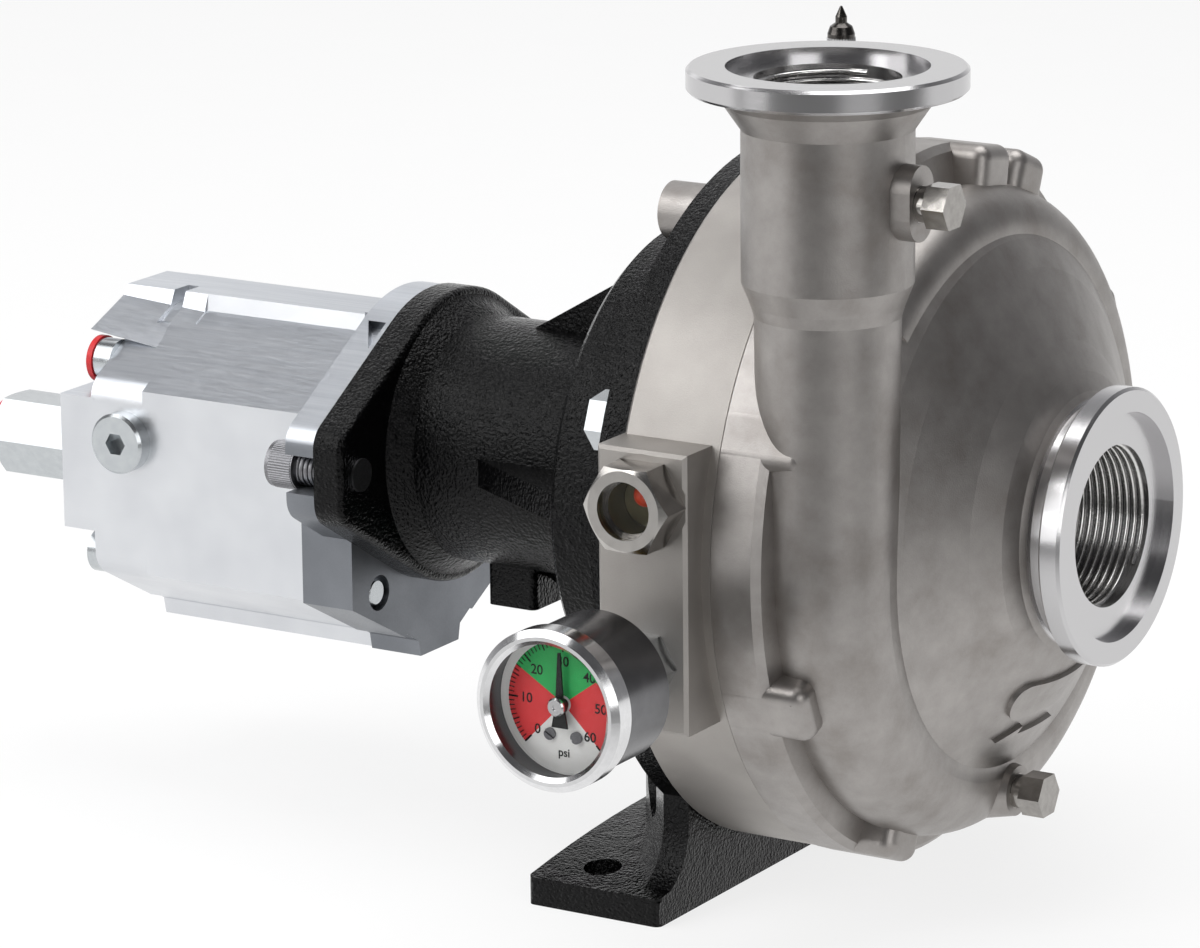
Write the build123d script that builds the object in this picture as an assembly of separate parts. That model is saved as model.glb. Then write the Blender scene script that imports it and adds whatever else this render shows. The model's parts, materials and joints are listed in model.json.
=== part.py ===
from build123d import *
import math
import os

# Centrifugal pump driven by a hydraulic gear motor, with a barrier-fluid seal housing.
# Millimetres. +X runs along the shaft toward the suction inlet, +Z is up, toward the discharge.
# The origin lies on the base plane, midway between the two bolt holes of the foot.
# Seen from the suction side the impeller turns clockwise, and the discharge rises on the -Y side.

# Stations along the shaft, counted from the foot's bolt holes
shaft_height = 108.0
foot_hole_setback = 25.5
rim_thickness = 8.0
drum_length = 30.0
bell_length = 72.0
motor_pad_thickness = 9.5
housing_length = 30.0
volute_length = 70.5

# Clearances
screw_clearance = 0.05
seat_clearance = 0.05
running_clearance = 0.03
bolt_clearance = 0.35
seal_face_gap = 0.1
seat_gap = 0.02
wear_clearance = 0.3

# Mounting frame, cast iron
rim_step = 1.9
drum_radius = 70.0
drum_wall = 7.0
bell_radius = 35.5
bell_flare = 6.0
bearing_hub_radius = 35.0
bearing_hub_reach = 9.0
gusset_thickness = 8.0
gusset_length = 46.0
gusset_height = 26.5
lug_width = 24.0
lug_length = 16.0
lug_setback = 15.0
lug_depth = 45.5
foot_width = 152.4
foot_depth = 42.0
foot_thickness = 7.9
foot_hole_radius = 5.3
foot_hole_spacing = 127.0
foot_crown = 13.6
web_half_width = 60.0
web_crest = 74.0
web_fillet_reach = 16.0
web_fillet_rise = 20.0
pedestal_half_width = 19.5
pedestal_fillet_reach = 40.0
pedestal_fillet_rise = 10.0
pedestal_crest = 45.0
spotface_radius = 10.5
frame_edge = 2.0

# Motor flange, a two-bolt pattern with open slots
motor_bolt_spacing = 106.4
pilot_radius = 41.3
pilot_height = 6.4
pilot_recess = 8.0
pad_radius = 42.8
pad_ear_radius = 8.0
pad_ear_y = 54.7
pad_ear_height = 7.5
slot_width = 11.0
slot_length = 22.0
mount_screw_radius = 4.76
mount_screw_head_radius = 6.6
mount_screw_head_height = 9.0
mount_screw_socket = 7.9

# Casing bolts
bolt_edge_distance = 10.3
bolt_count = 8
bolt_radius = 4.76
bolt_head_across = 14.3
bolt_head_height = 6.0
bolt_engagement = 8.0
thread_runout = 0.6
cap_screw_head_radius = 8.0
cap_screw_head_height = 11.5
cap_screw_socket = 8.0

# Pump shaft and ball bearings
bearing_outer_radius = 26.0
bearing_inner_radius = 12.5
bearing_width = 15.0
bearing_ring_thickness = 4.0
ball_radius = 3.9
ball_count = 9
ball_gap = 0.08
cage_wall = 1.2
bearing_shoulder = 3.0
front_bearing_setback = 2.0
rear_bearing_offset = 57.0
snap_ring_thickness = 1.7
snap_ring_depth = 1.5
snap_ring_gap = 8.0
seal_shaft_radius = 12.0
impeller_shaft_radius = 8.0
coupling_length = 24.0
key_width = 4.0
key_height = 4.0
impeller_key_length = 14.0
motor_key_length = 16.0

# Seal housing, the stainless ring with its port block
housing_radius = 98.3
chamber_wall = 16.0
housing_back_wall = 7.5
housing_front_wall = 6.5
seal_bore_radius = 23.0
housing_pilot_length = 3.0
spigot_edge_distance = 8.0
spigot_length = 3.8
boss_radius = 61.0
boss_gap = 1.4
housing_edge = 1.0
block_length = 27.0
block_reach = 7.7
block_top = 34.0
block_bottom = -42.0
port_x_setback = 14.0
sight_port_height = 20.0
gauge_port_height = -24.0
sight_thread_radius = 9.0
sight_thread_depth = 10.0
sight_passage_radius = 5.0
gauge_thread_radius = 5.0
gauge_thread_depth = 10.0
gauge_passage_radius = 2.5
spotface_depth = 0.6

# Mechanical seals
seat_inner_radius = 13.2
seat_radius = 20.0
seat_length = 6.0
seal_head_radius = 19.0
inboard_head_length = 7.5
outboard_head_length = 4.5
seal_spring_radius = 16.0

# Volute casing, investment cast
spiral_x_offset = 21.2
spiral_start_angle = -42.0
spiral_end_angle = 270.0
spiral_start_radius = 11.5
spiral_end_radius = 18.5
spiral_outer_start = 87.5
spiral_section_count = 12
passage_start_angle = 14.0
volute_wall = 4.5
neck_offset = 73.8
band_step = 0.3
band_length = 14.0
band_groove_depth = 14.0
front_wall_slope = [(-4, 3), (2, 10), (7, 17.5), (12, 27), (17, 36), (22.5, 44)]  # ahead, inward
chamber_slope = [(11, 0), (7.5, 7.5), (3.8, 17.5), (2.2, 27)]  # back from the eye, inward
diffuser_height = 68.0
diffuser_top_radius = 19.3
shoulder_height = 9.0
neck_radius = 22.6
neck_hub_radius = 31.0
neck_hub_height = 10.0
discharge_height = 133.6
discharge_flange_radius = 36.6
suction_flange_radius = 37.95
flange_thickness = 6.3
suction_recess_radius = 31.3
discharge_recess_radius = 26.5
flange_recess = 3.0
flange_edge = 0.8
suction_bore_radius = 22.2
suction_thread_depth = 25.0
discharge_bore_radius = 19.2
discharge_thread_depth = 22.0
suction_hub_radius = 33.0
suction_hub_length = 5.5
casing_lug_width = 17.0
casing_lug_depth = 22.0
casing_lug_length = 24.5
casing_lug_edge = 4.0
vent_lug_angle = -9.5
drain_boss_radius = 8.0
drain_boss_length = 10.0
drain_height = -79.0
vent_boss_width = 13.0
vent_boss_height = 20.0
vent_boss_reach = 27.5
vent_plug_height = 100.0
plug_thread_radius = 4.9
plug_thread_depth = 7.0
plug_collar_length = 3.0
plug_head_across = 11.1
plug_head_length = 6.5
pad_length = 34.0
pad_width = 12.0
pad_rise = 1.5
pad_y = -5.0
pad_z = -48.0
arrow_drop = 13.0
pocket_depth = 3.0
pocket_height = 11.0
pocket_width = 6.0

# Impeller, closed, with backward-swept vanes
impeller_radius = 64.0
impeller_rim_gap = 3.5
impeller_hub_length = 41.5
impeller_shroud_depth = 29.0
vane_count = 6
vane_thickness = 2.5
vane_inlet_radius = 24.0
vane_wrap = 115.0
eye_radius = 23.2
eye_neck_radius = 26.5
hub_radius = 17.0
washer_radius = 11.0
washer_thickness = 2.0
impeller_bolt_radius = 4.0
impeller_bolt_across = 13.0
impeller_bolt_head = 5.3
impeller_bolt_length = 18.0

# Casing O-ring
oring_radius = 1.4
oring_squeeze = 0.1

# Gear motor
motor_half_width = 44.0
motor_middle = -15.0
motor_half_height = 49.5
motor_side_height = 27.4
motor_ridge_y = 10.0
motor_ridge_height = 3.6
motor_groove_y = 17.0
motor_groove_depth = 1.2
motor_facet_top_y = 12.0
motor_facet_top = 45.2
cover_length = 17.0
cover_growth = 0.6
cover_flange_thickness = 9.8
gear_housing_length = 55.0
rear_cover_length = 18.5
rear_ledge_length = 10.5
rear_ledge_reach = 28.7
rear_ledge_drop = 10.0
port_block_length = 10.9
rear_cover_round = 9.0
port_block_top = 8.5
port_block_bottom = -31.5
port_block_width = 44.0
gear_module = 2.5
gear_teeth = 12
gear_addendum = 2.0
gear_dedendum = 2.9
gear_backlash = 0.3
pressure_angle = 25.0
gear_tip_clearance = 0.08
bushing_length = 15.0
gear_end_float = 1.0
gear_width = gear_housing_length - 2 * bushing_length - gear_end_float
motor_shaft_radius = 7.94
motor_shaft_reach = 32.0
tie_bolt_radius = 4.0
tie_bolt_y = 31.0
tie_bolt_z = -41.0
tie_bolt_tip_setback = 0.8
tie_bolt_bore_radius = 5.2
tie_bolt_bore_depth = 2.5
tie_bolt_head_radius = 6.5
tie_bolt_head_height = 8.0
tie_socket = 6.0
tie_socket_depth = 4.5
cover_screw_y = 10.0
cover_screw_z = 24.0
cover_screw_seat = 6.0
cover_screw_length = 78.0
shaft_seal_radius = 14.0
shaft_seal_length = 7.0
plug_flange_radius = 8.9
plug_flange_length = 5.0
plug_drop = 3.0
plug_setback = 6.5
port_plug_thread = 5.8
port_plug_depth = 9.0
port_plug_socket = 6.0
adapter_across = 22.2
adapter_length = 34.0
adapter_thread = 9.5
adapter_depth = 8.0
adapter_bore = 6.5
adapter_y = -22.0
adapter_z = -11.4
return_radius = 6.4
return_length = 6.0
return_y = -28.0
return_z = 16.0
return_thread = 3.5
return_thread_depth = 6.0
return_bore = 2.0
dust_cap_radius = 6.9
dust_cap_thickness = 1.8
dust_cap_stem_length = 4.0
adapter_plug_wall = 1.4
adapter_plug_rim = 10.2
adapter_plug_rim_length = 1.5
adapter_plug_depth = 9.0

# Sight glass
sight_across = 22.2
sight_head_length = 10.6
sight_bore_radius = 7.0
lens_radius = 7.8
lens_thickness = 3.0
lens_setback = 1.2
level_ball_radius = 3.2
level_ball_rise = 2.6
level_ball_set_back = 5.0

# Pressure gauge
adapter_hex_across = 17.0
adapter_hex_length = 10.0
gauge_hex_across = 14.0
gauge_hex_length = 9.6
gauge_stem_radius = 4.5
gauge_stem_length = 8.0
case_radius = 20.3
case_length = 30.0
case_wall = 1.2
bezel_radius = 21.6
bezel_length = 8.0
bezel_opening = 17.6
bezel_lip = 1.2
gauge_lens_radius = 19.0
gauge_lens_thickness = 2.0
dial_radius = 18.6
dial_thickness = 0.8
dial_depth = 9.0
dial_screw_radius = 1.6
dial_screw_height = 0.9
dial_screw_x = 4.0
dial_screw_drop = 8.5
pointer_length = 14.0
pointer_tail = 6.0
pointer_width = 2.4
pointer_thickness = 0.6
pointer_lift = 2.2
pointer_hub_radius = 2.4
arbor_radius = 0.9
pinion_radius = 2.0
sector_radius = 6.0
sector_mesh_gap = 0.15
sector_thickness = 1.4
sector_sweep = 104.0
sector_tail_width = 3.2
sector_tail_reach = 8.3
bourdon_radius = 13.5
bourdon_tube_radius = 1.5
bourdon_sweep = 250.0
plate_thickness = 1.2
plate_width = 17.0
plate_height = 21.0
plate_spacing = 5.0
plate_pillar_radius = 1.2
plate_pillar_x = 7.0
plate_pillar_y = 5.5

# Fill valve on top of the seal housing
valve_hex_across = 12.7
valve_hex_length = 8.0
valve_thread_radius = 5.0
valve_thread_depth = 8.0
valve_stem_radius = 3.0
valve_collar_top = 19.0
valve_bore_radius = 1.5
valve_pin_radius = 0.8
valve_pin_length = 20.0
valve_pin_recess = 1.0
valve_cap_radius = 3.75
valve_cap_length = 13.0
valve_cap_tip = 4.5
valve_cap_tip_radius = 1.6
valve_seat_top = 37.0

# Sizes that follow the seal housing
rim_radius = housing_radius - rim_step
band_radius = housing_radius + band_step
bolt_circle_radius = housing_radius - bolt_edge_distance
spigot_radius = bolt_circle_radius - spigot_edge_distance
chamber_radius = bolt_circle_radius - chamber_wall
block_face_y = -(housing_radius + block_reach)

# Stations worked out from the lengths
housing_back_x = foot_hole_setback
rim_back_x = housing_back_x - rim_thickness
drum_back_x = rim_back_x - drum_length
pad_front_x = drum_back_x - bell_length
motor_face_x = pad_front_x - motor_pad_thickness
joint_x = housing_back_x + housing_length
suction_face_x = joint_x + volute_length
spiral_x = joint_x + spiral_x_offset
front_bearing_x = drum_back_x - front_bearing_setback
rear_bearing_x = front_bearing_x - rear_bearing_offset
shaft_rear_x = motor_face_x + 12.0
port_x = housing_back_x + port_x_setback
cover_back_x = motor_face_x - cover_length
gear_housing_back_x = cover_back_x - gear_housing_length
rear_cover_back_x = gear_housing_back_x - rear_cover_length
port_block_back_x = rear_cover_back_x - port_block_length
gear_pitch_radius = gear_module * gear_teeth / 2
gear_middle_x = cover_back_x - gear_housing_length / 2
gear_outer_radius = gear_pitch_radius + gear_addendum
plug_station_x = gear_housing_back_x - plug_setback
motor_top = motor_middle + motor_half_height
thread_end_x = suction_face_x - flange_recess - suction_thread_depth
eye_end_x = thread_end_x - 0.1
impeller_hub_x = eye_end_x - impeller_hub_length
washer_x = thread_end_x - 9.0
impeller_bolt_x = washer_x + washer_thickness
front_wall_x = joint_x - housing_front_wall


def shaft_plane(x=0.0):
    """Plane square to the shaft: its X is the part's +Y, its Y is up, its Z runs to the suction."""
    return Plane(origin=(x, 0, shaft_height), x_dir=(0, 1, 0), z_dir=(1, 0, 0))


def rear_plane(x, y, z):
    """Plane that looks back along the shaft, for what is screwed in from the motor's end."""
    return Plane(origin=(x, y, shaft_height + z), x_dir=(0, 1, 0), z_dir=(-1, 0, 0))


def side_plane(x, y, z):
    """Plane on the near side: its X is the part's X, its Y is up, its Z runs out toward -Y."""
    return Plane(origin=(x, y, shaft_height + z), x_dir=(1, 0, 0), z_dir=(0, -1, 0))


def upright_plane(x, y, z):
    """Level plane with its Z up."""
    return Plane(origin=(x, y, z), x_dir=(1, 0, 0), z_dir=(0, 0, 1))


def turned(points, plane):
    """Solid of revolution about the plane's Z axis from (height, radius) points."""
    outline = Polyline(*[(radius, height) for height, radius in points], close=True)
    return plane * revolve(make_face(Plane.XZ * outline), Axis.Z)


def rod(radius, start, end, plane):
    """Cylinder along the plane's Z axis."""
    cylinder = Cylinder(radius, end - start, align=(Align.CENTER, Align.CENTER, Align.MIN))
    return plane * Pos(0, 0, start) * cylinder


def pipe(outer, inner, start, end, plane):
    """Round tube along the plane's Z axis."""
    return rod(outer, start, end, plane) - rod(inner, start - 1, end + 1, plane)


def prism(across, start, end, plane, turn=0.0):
    """Hexagonal bar along the plane's Z axis, by its size across flats."""
    hexagon = Rot(0, 0, turn) * RegularPolygon(across / 2, 6, major_radius=False)
    return plane * Pos(0, 0, start) * extrude(hexagon, end - start)


def polar(radius, angle):
    """Point on a shaft plane, by its angle from the top toward the -Y side."""
    turn = math.radians(angle)
    return -radius * math.sin(turn), radius * math.cos(turn)


def bolt_angles():
    """Angles of the casing bolts, from the top toward the -Y side."""
    step = 360 / bolt_count
    return [step * (index + 0.5) for index in range(bolt_count)]


def pad_outline(grow=0.0):
    """Two-bolt flange outline: a round middle with a rounded ear at each bolt."""
    edges = Circle(pad_radius + grow).edges()
    for side in (-1, 1):
        for end in (-1, 1):
            edges += (Pos(side * pad_ear_y, end * pad_ear_height) * Circle(pad_ear_radius + grow)).edges()
    return make_hull(edges)


def motor_outline(grow=0.0):
    """Motor section: slanted corners and a raised strip on top and below, seen from the suction side."""
    half = motor_half_height + grow
    side = motor_half_width + grow
    corner = [
        (motor_ridge_y, half), (motor_ridge_y + 1, half - motor_ridge_height - motor_groove_depth),
        (motor_groove_y, facet_height(motor_groove_y) - motor_groove_depth + grow),
        (motor_groove_y + 0.6, facet_height(motor_groove_y + 0.6) + grow), (side, motor_side_height + grow),
    ]
    right = corner + [(y, -z) for y, z in reversed(corner)]
    left = [(-y, z) for y, z in reversed(right)]
    return Pos(0, motor_middle) * make_face(Polyline(*(right + left), close=True))


def facet_height(y):
    """Height of the motor's slanted facet above its middle, at a distance from the middle plane."""
    share = (y - motor_facet_top_y) / (motor_half_width - motor_facet_top_y)
    return motor_facet_top + (motor_side_height - motor_facet_top) * share


def tie_bolt_places():
    """Places of the two tie bolts that come from behind, on a shaft plane."""
    return [(side * tie_bolt_y, tie_bolt_z) for side in (-1, 1)]


def cover_screw_places():
    """Places of the two screws that come from the front, on a shaft plane."""
    return [(side * cover_screw_y, cover_screw_z) for side in (-1, 1)]


def involute_gear(width, plane, phase):
    """Spur gear centred on the plane, made by its involute flanks."""
    base = gear_pitch_radius * math.cos(math.radians(pressure_angle))
    root = gear_pitch_radius - gear_dedendum

    def involute(radius):
        roll = math.sqrt((radius / base) ** 2 - 1)
        return roll - math.atan(roll)

    half_tooth = (math.pi * gear_module / 2 - gear_backlash) / (2 * gear_pitch_radius)
    half_base = half_tooth + involute(gear_pitch_radius)
    steps = 4
    flank = []
    for step in range(steps + 1):
        radius = base + (gear_outer_radius - base) * step / steps
        flank.append((radius, half_base - involute(radius)))
    points = []
    for tooth in range(gear_teeth):
        centre = 2 * math.pi * (tooth + phase) / gear_teeth
        profile = [(root, -half_base)] + [(r, -a) for r, a in flank]
        profile += [(r, a) for r, a in reversed(flank)] + [(root, half_base)]
        points += [(r * math.cos(centre + a), r * math.sin(centre + a)) for r, a in profile]
    blank = make_face(Polyline(*points, close=True))
    return plane * Pos(0, 0, -width / 2) * extrude(blank, width)


def mounting_frame():
    """Cast-iron frame: motor pad, bell, drum and rim on one foot, bored for the shaft bearings."""
    shaft = shaft_plane()
    flare = bell_flare
    body = turned(
        [
            (pad_front_x - 1, 0), (pad_front_x - 1, bell_radius + flare),
            (pad_front_x + flare, bell_radius),
            (drum_back_x - flare, bell_radius), (drum_back_x, bell_radius + flare),
            (drum_back_x, drum_radius - frame_edge), (drum_back_x + frame_edge, drum_radius),
            (rim_back_x, drum_radius), (rim_back_x, rim_radius), (housing_back_x, rim_radius),
            (housing_back_x, 0),
        ],
        shaft,
    )
    pad = shaft_plane(motor_face_x) * extrude(pad_outline(), motor_pad_thickness)
    body += fillet(pad.faces().sort_by(Axis.X)[-1].edges(), frame_edge)
    for turn in (0, 90, 180, 270):
        web = make_face(
            Polyline(
                (drum_back_x + 1, 0), (drum_back_x + 1, bell_radius + gusset_height),
                (drum_back_x - gusset_length, bell_radius - 1), (drum_back_x - gusset_length, 0),
                close=True,
            )
        )
        web = extrude(Plane.XZ * web, gusset_thickness / 2, both=True)
        body += Pos(0, 0, shaft_height) * Rot(turn, 0, 0) * web
    lug_start = pad_front_x + lug_setback
    lug = Pos(lug_start, 0, shaft_height - lug_depth) * Box(
        lug_length, lug_width, lug_depth, align=(Align.MIN, Align.CENTER, Align.MIN)
    )
    body += fillet(lug.edges().filter_by(Axis.Z), frame_edge)
    body += foot()
    body -= frame_bores()
    return body


def foot_section(x, reach, start, rise, half_width, crest):
    """Section of the foot's arch: up from the plate in a hollow curve, then upright to its crest."""
    knee = start + rise
    curve = Spline(
        (reach, start), (half_width, knee), tangents=[(-1, 0.15), (0.1, 1)], tangent_scalars=(1.2, 1.2)
    )
    upright = Line((half_width, knee), (half_width, crest))
    outline = [
        curve, upright, Line((half_width, crest), (-half_width, crest)),
        mirror(upright, Plane.YZ), mirror(curve, Plane.YZ),
        Line((-reach, start), (-reach, 1)), Line((-reach, 1), (reach, 1)), Line((reach, 1), (reach, start)),
    ]
    plane = Plane(origin=(x, 0, 0), x_dir=(0, 1, 0), z_dir=(1, 0, 0))
    return plane * make_face(outline)


def foot():
    """Foot plate with its crowned top, and the arch that rises from it to the drum and the rim."""
    half = foot_width / 2
    top = ThreePointArc((half, foot_thickness), (0, foot_crown), (-half, foot_thickness))
    outline = make_face(
        [top, Line((-half, foot_thickness), (-half, 0)), Line((-half, 0), (half, 0)),
         Line((half, 0), (half, foot_thickness))]
    )
    plane = Plane(origin=(housing_back_x - foot_depth, 0, 0), x_dir=(0, 1, 0), z_dir=(1, 0, 0))
    plate = plane * extrude(outline, foot_depth)
    plate = fillet(plate.edges().filter_by(Axis.Z), frame_edge)
    front = foot_section(rim_back_x, web_half_width + web_fillet_reach, foot_thickness - 1, web_fillet_rise,
                         web_half_width, web_crest)
    rear = foot_section(drum_back_x, pedestal_half_width + pedestal_fillet_reach, foot_thickness,
                        pedestal_fillet_rise, pedestal_half_width, pedestal_crest)
    arch = loft([rear, front], ruled=True)
    for angle in bolt_angles():
        y, z = polar(bolt_circle_radius, angle)
        arch -= rod(spotface_radius, drum_back_x - foot_depth, rim_back_x, shaft_plane() * Pos(y, z, 0))
    arch += extrude(front, rim_thickness)
    body = plate + arch
    for side in (-1, 1):
        body -= Pos(0, side * foot_hole_spacing / 2, 0) * Cylinder(foot_hole_radius, 2 * web_crest)
    return body


def frame_bores():
    """Everything that is bored out of the frame."""
    shaft = shaft_plane()
    seat = bearing_outer_radius + seat_clearance
    through = bearing_outer_radius - bearing_shoulder
    groove = seat + snap_ring_depth
    front_end = front_bearing_x + bearing_width
    hub_end = drum_back_x + drum_wall + bearing_hub_reach
    bores = rod(pilot_radius + seat_clearance, motor_face_x - 1, motor_face_x + pilot_recess, shaft)
    bores += rod(seat, motor_face_x, rear_bearing_x + bearing_width, shaft)
    bores += rod(groove, rear_bearing_x - snap_ring_thickness, rear_bearing_x, shaft)
    bores += rod(through, rear_bearing_x, front_bearing_x + 1, shaft)
    bores += rod(seat, front_bearing_x, housing_back_x + 1, shaft)
    bores += rod(groove, front_end, front_end + snap_ring_thickness, shaft)
    bores += rod(drum_radius - drum_wall, hub_end, housing_back_x + 1, shaft)
    bores += pipe(drum_radius - drum_wall, bearing_hub_radius, drum_back_x + drum_wall, hub_end, shaft)
    for angle in bolt_angles():
        y, z = polar(bolt_circle_radius, angle)
        bores += rod(bolt_radius + bolt_clearance, rim_back_x - 1, housing_back_x + 1, shaft * Pos(y, z, 0))
    for side in (-1, 1):
        place = shaft * Pos(side * motor_bolt_spacing / 2, 0, 0)
        bores += rod(mount_screw_radius + screw_clearance, motor_face_x - 1, pad_front_x + 1, place)
    return bores


def seal_housing():
    """Stainless ring that holds the barrier fluid and both shaft seals, with its port block."""
    shaft = shaft_plane()
    pilot = drum_radius - drum_wall - seat_clearance
    boss_end = eye_end_x - impeller_shroud_depth - boss_gap
    body = turned(
        [
            (housing_back_x - housing_pilot_length, 0), (housing_back_x - housing_pilot_length, pilot),
            (housing_back_x, pilot), (housing_back_x, housing_radius - housing_edge),
            (housing_back_x + housing_edge, housing_radius), (joint_x - housing_edge / 2, housing_radius),
            (joint_x, housing_radius - housing_edge / 2), (joint_x, spigot_radius - seat_clearance),
            (joint_x + spigot_length, spigot_radius - seat_clearance),
            (joint_x + spigot_length, boss_radius), (boss_end, boss_radius), (boss_end, 0),
        ],
        shaft,
    )
    depth = -block_face_y - spigot_radius
    block = Pos(housing_back_x, block_face_y, shaft_height + block_bottom) * Box(
        block_length, depth, block_top - block_bottom, align=(Align.MIN, Align.MIN, Align.MIN)
    )
    body += chamfer(block.faces().sort_by(Axis.Y)[0].edges(), housing_edge)
    chamber_start = housing_back_x + housing_back_wall
    chamber = pipe(chamber_radius, seal_bore_radius, chamber_start, front_wall_x, shaft)
    bore = rod(seal_bore_radius, housing_back_x - 2 * housing_pilot_length, boss_end + 1, shaft)
    body -= chamber
    body -= bore
    body -= port_holes()
    for angle in bolt_angles():
        y, z = polar(bolt_circle_radius, angle)
        body -= rod(bolt_radius + bolt_clearance, housing_back_x - 1, joint_x + 1, shaft * Pos(y, z, 0))
    return body


def port_holes():
    """Sight, gauge and fill ports, drilled from outside into the barrier chamber."""
    reach = -block_face_y - chamber_radius + 3
    holes = None
    ports = [
        (side_plane(port_x, block_face_y, sight_port_height), sight_thread_radius, sight_thread_depth,
         sight_passage_radius, sight_across / 2 + 2),
        (side_plane(port_x, block_face_y, gauge_port_height), gauge_thread_radius, gauge_thread_depth,
         gauge_passage_radius, adapter_hex_across / 2 + 2),
    ]
    for plane, thread, depth, passage, spotface in ports:
        port = rod(thread + screw_clearance, -depth - 1, 1, plane)
        port += rod(passage, -reach, -depth, plane)
        port += rod(spotface, -spotface_depth, 1, plane)
        holes = port if holes is None else holes + port
    top = upright_plane(port_x, 0, shaft_height + housing_radius)
    holes += rod(valve_thread_radius + screw_clearance, -valve_thread_depth - 1, 1, top)
    holes += rod(valve_bore_radius, chamber_radius - housing_radius - 1, 0, top)
    holes += rod(valve_hex_across / 2 + 1.5, -spotface_depth, 2, top)
    return holes


def spiral_share(angle):
    """How far round the spiral an angle lies, from 0 at its start to 1 at the discharge."""
    return (angle - spiral_start_angle) / (spiral_end_angle - spiral_start_angle)


def spiral_section(angle, wall):
    """Round section of the spiral, its wall taken off, at an angle clockwise from the top."""
    share = spiral_share(angle)
    radius = spiral_start_radius + (spiral_end_radius - spiral_start_radius) * share
    outer_end = neck_offset + spiral_end_radius
    distance = spiral_outer_start + (outer_end - spiral_outer_start) * share - radius
    turn = math.radians(angle)
    place = Plane(
        origin=(spiral_x, distance * math.sin(turn), shaft_height + distance * math.cos(turn)),
        x_dir=(1, 0, 0), z_dir=(0, math.cos(turn), -math.sin(turn)),
    )
    return place * Circle(radius - wall)


def spiral(start_angle, wall):
    """Tube that winds round the impeller and grows toward the discharge."""
    step = (spiral_end_angle - start_angle) / spiral_section_count
    angles = [start_angle + step * index for index in range(spiral_section_count + 1)]
    return loft([spiral_section(angle, wall) for angle in angles])


def neck_line():
    """Upright axis of the discharge."""
    return upright_plane(spiral_x, -neck_offset, shaft_height)


def discharge_outside():
    """Diffuser, shoulder, neck and flange of the discharge as one turned form."""
    flange_back = discharge_height - flange_thickness
    shoulder = diffuser_height + shoulder_height
    shoulder_step = neck_radius - diffuser_top_radius
    lip = flange_edge
    return turned(
        [
            (0, 0), (0, spiral_end_radius), (diffuser_height, diffuser_top_radius),
            (diffuser_height + shoulder_height * 0.35, diffuser_top_radius + shoulder_step * 0.3),
            (shoulder, neck_radius), (flange_back - neck_hub_height, neck_radius),
            (flange_back - neck_hub_height / 3, neck_radius + (neck_hub_radius - neck_radius) * 0.55),
            (flange_back, neck_hub_radius), (flange_back, discharge_flange_radius - lip),
            (flange_back + lip, discharge_flange_radius), (discharge_height - lip, discharge_flange_radius),
            (discharge_height, discharge_flange_radius - lip), (discharge_height, 0),
        ],
        neck_line(),
    )


def discharge_inside():
    """Passage of the discharge: recess, thread bore and diffuser."""
    recess = discharge_height - flange_recess
    thread_end = recess - discharge_thread_depth
    throat = diffuser_top_radius - volute_wall
    return turned(
        [
            (0, 0), (0, spiral_end_radius - volute_wall), (diffuser_height, throat),
            (thread_end - 2, neck_radius - volute_wall), (thread_end, discharge_bore_radius),
            (recess, discharge_bore_radius), (recess, discharge_recess_radius),
            (discharge_height + 1, discharge_recess_radius), (discharge_height + 1, 0),
        ],
        neck_line(),
    )


def casing_outside():
    """Front wall, hub and suction flange as one turned form, behind the spiral."""
    band_front = joint_x + band_length
    flange_back = suction_face_x - flange_thickness
    hub_start = flange_back - suction_hub_length
    lip = flange_edge
    groove_x = band_front + 2.5
    groove_radius = band_radius - band_groove_depth
    spiral_front = spiral_x + spiral_start_radius
    slope = [(spiral_front + ahead, groove_radius - inward) for ahead, inward in front_wall_slope]
    return turned(
        [
            (joint_x, 0), (joint_x, band_radius), (band_front - 2, band_radius),
            (band_front, band_radius - 2), (groove_x, groove_radius), *slope,
            (hub_start - 1, suction_hub_radius + 2.5), (hub_start + 1, suction_hub_radius),
            (flange_back, suction_hub_radius), (flange_back, suction_flange_radius - lip),
            (flange_back + lip, suction_flange_radius), (suction_face_x - lip, suction_flange_radius),
            (suction_face_x, suction_flange_radius - lip), (suction_face_x, 0),
        ],
        shaft_plane(),
    )


def casing_inside():
    """Impeller chamber and suction bore as one turned form."""
    recess = suction_face_x - flange_recess
    thread_end = thread_end_x
    bore = spigot_radius + seat_clearance
    wear = eye_neck_radius + wear_clearance
    chamber = impeller_radius + impeller_rim_gap
    step = joint_x + spigot_length + 0.2
    slope = [(thread_end - back, chamber - inward) for back, inward in chamber_slope]
    return turned(
        [
            (joint_x - 1, 0), (joint_x - 1, bore), (step, bore), (step, chamber), *slope,
            (slope[-1][0], wear), (thread_end + 0.2, wear), (thread_end + 0.2, suction_bore_radius),
            (recess, suction_bore_radius), (recess, suction_recess_radius),
            (suction_face_x + 1, suction_recess_radius), (suction_face_x + 1, 0),
        ],
        shaft_plane(),
    )


def casing_lug(angle):
    """Rounded lug along the edge of the casing, which takes a casing bolt."""
    corner = (Align.CENTER, Align.MAX, Align.MIN)
    lug = Box(casing_lug_width, casing_lug_depth, casing_lug_length, align=corner)
    top = lug.faces().sort_by(Axis.Y)[-1]
    front = lug.faces().sort_by(Axis.Z)[-1]
    edges = [edge for edge in lug.edges() if edge in top.edges() or edge in front.edges()]
    edges = [edge for edge in edges if edge.center().Z > 0.1]
    lug = fillet(edges, casing_lug_edge)
    return shaft_plane(joint_x) * Rot(0, 0, angle) * Pos(0, band_radius, 0) * lug


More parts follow.
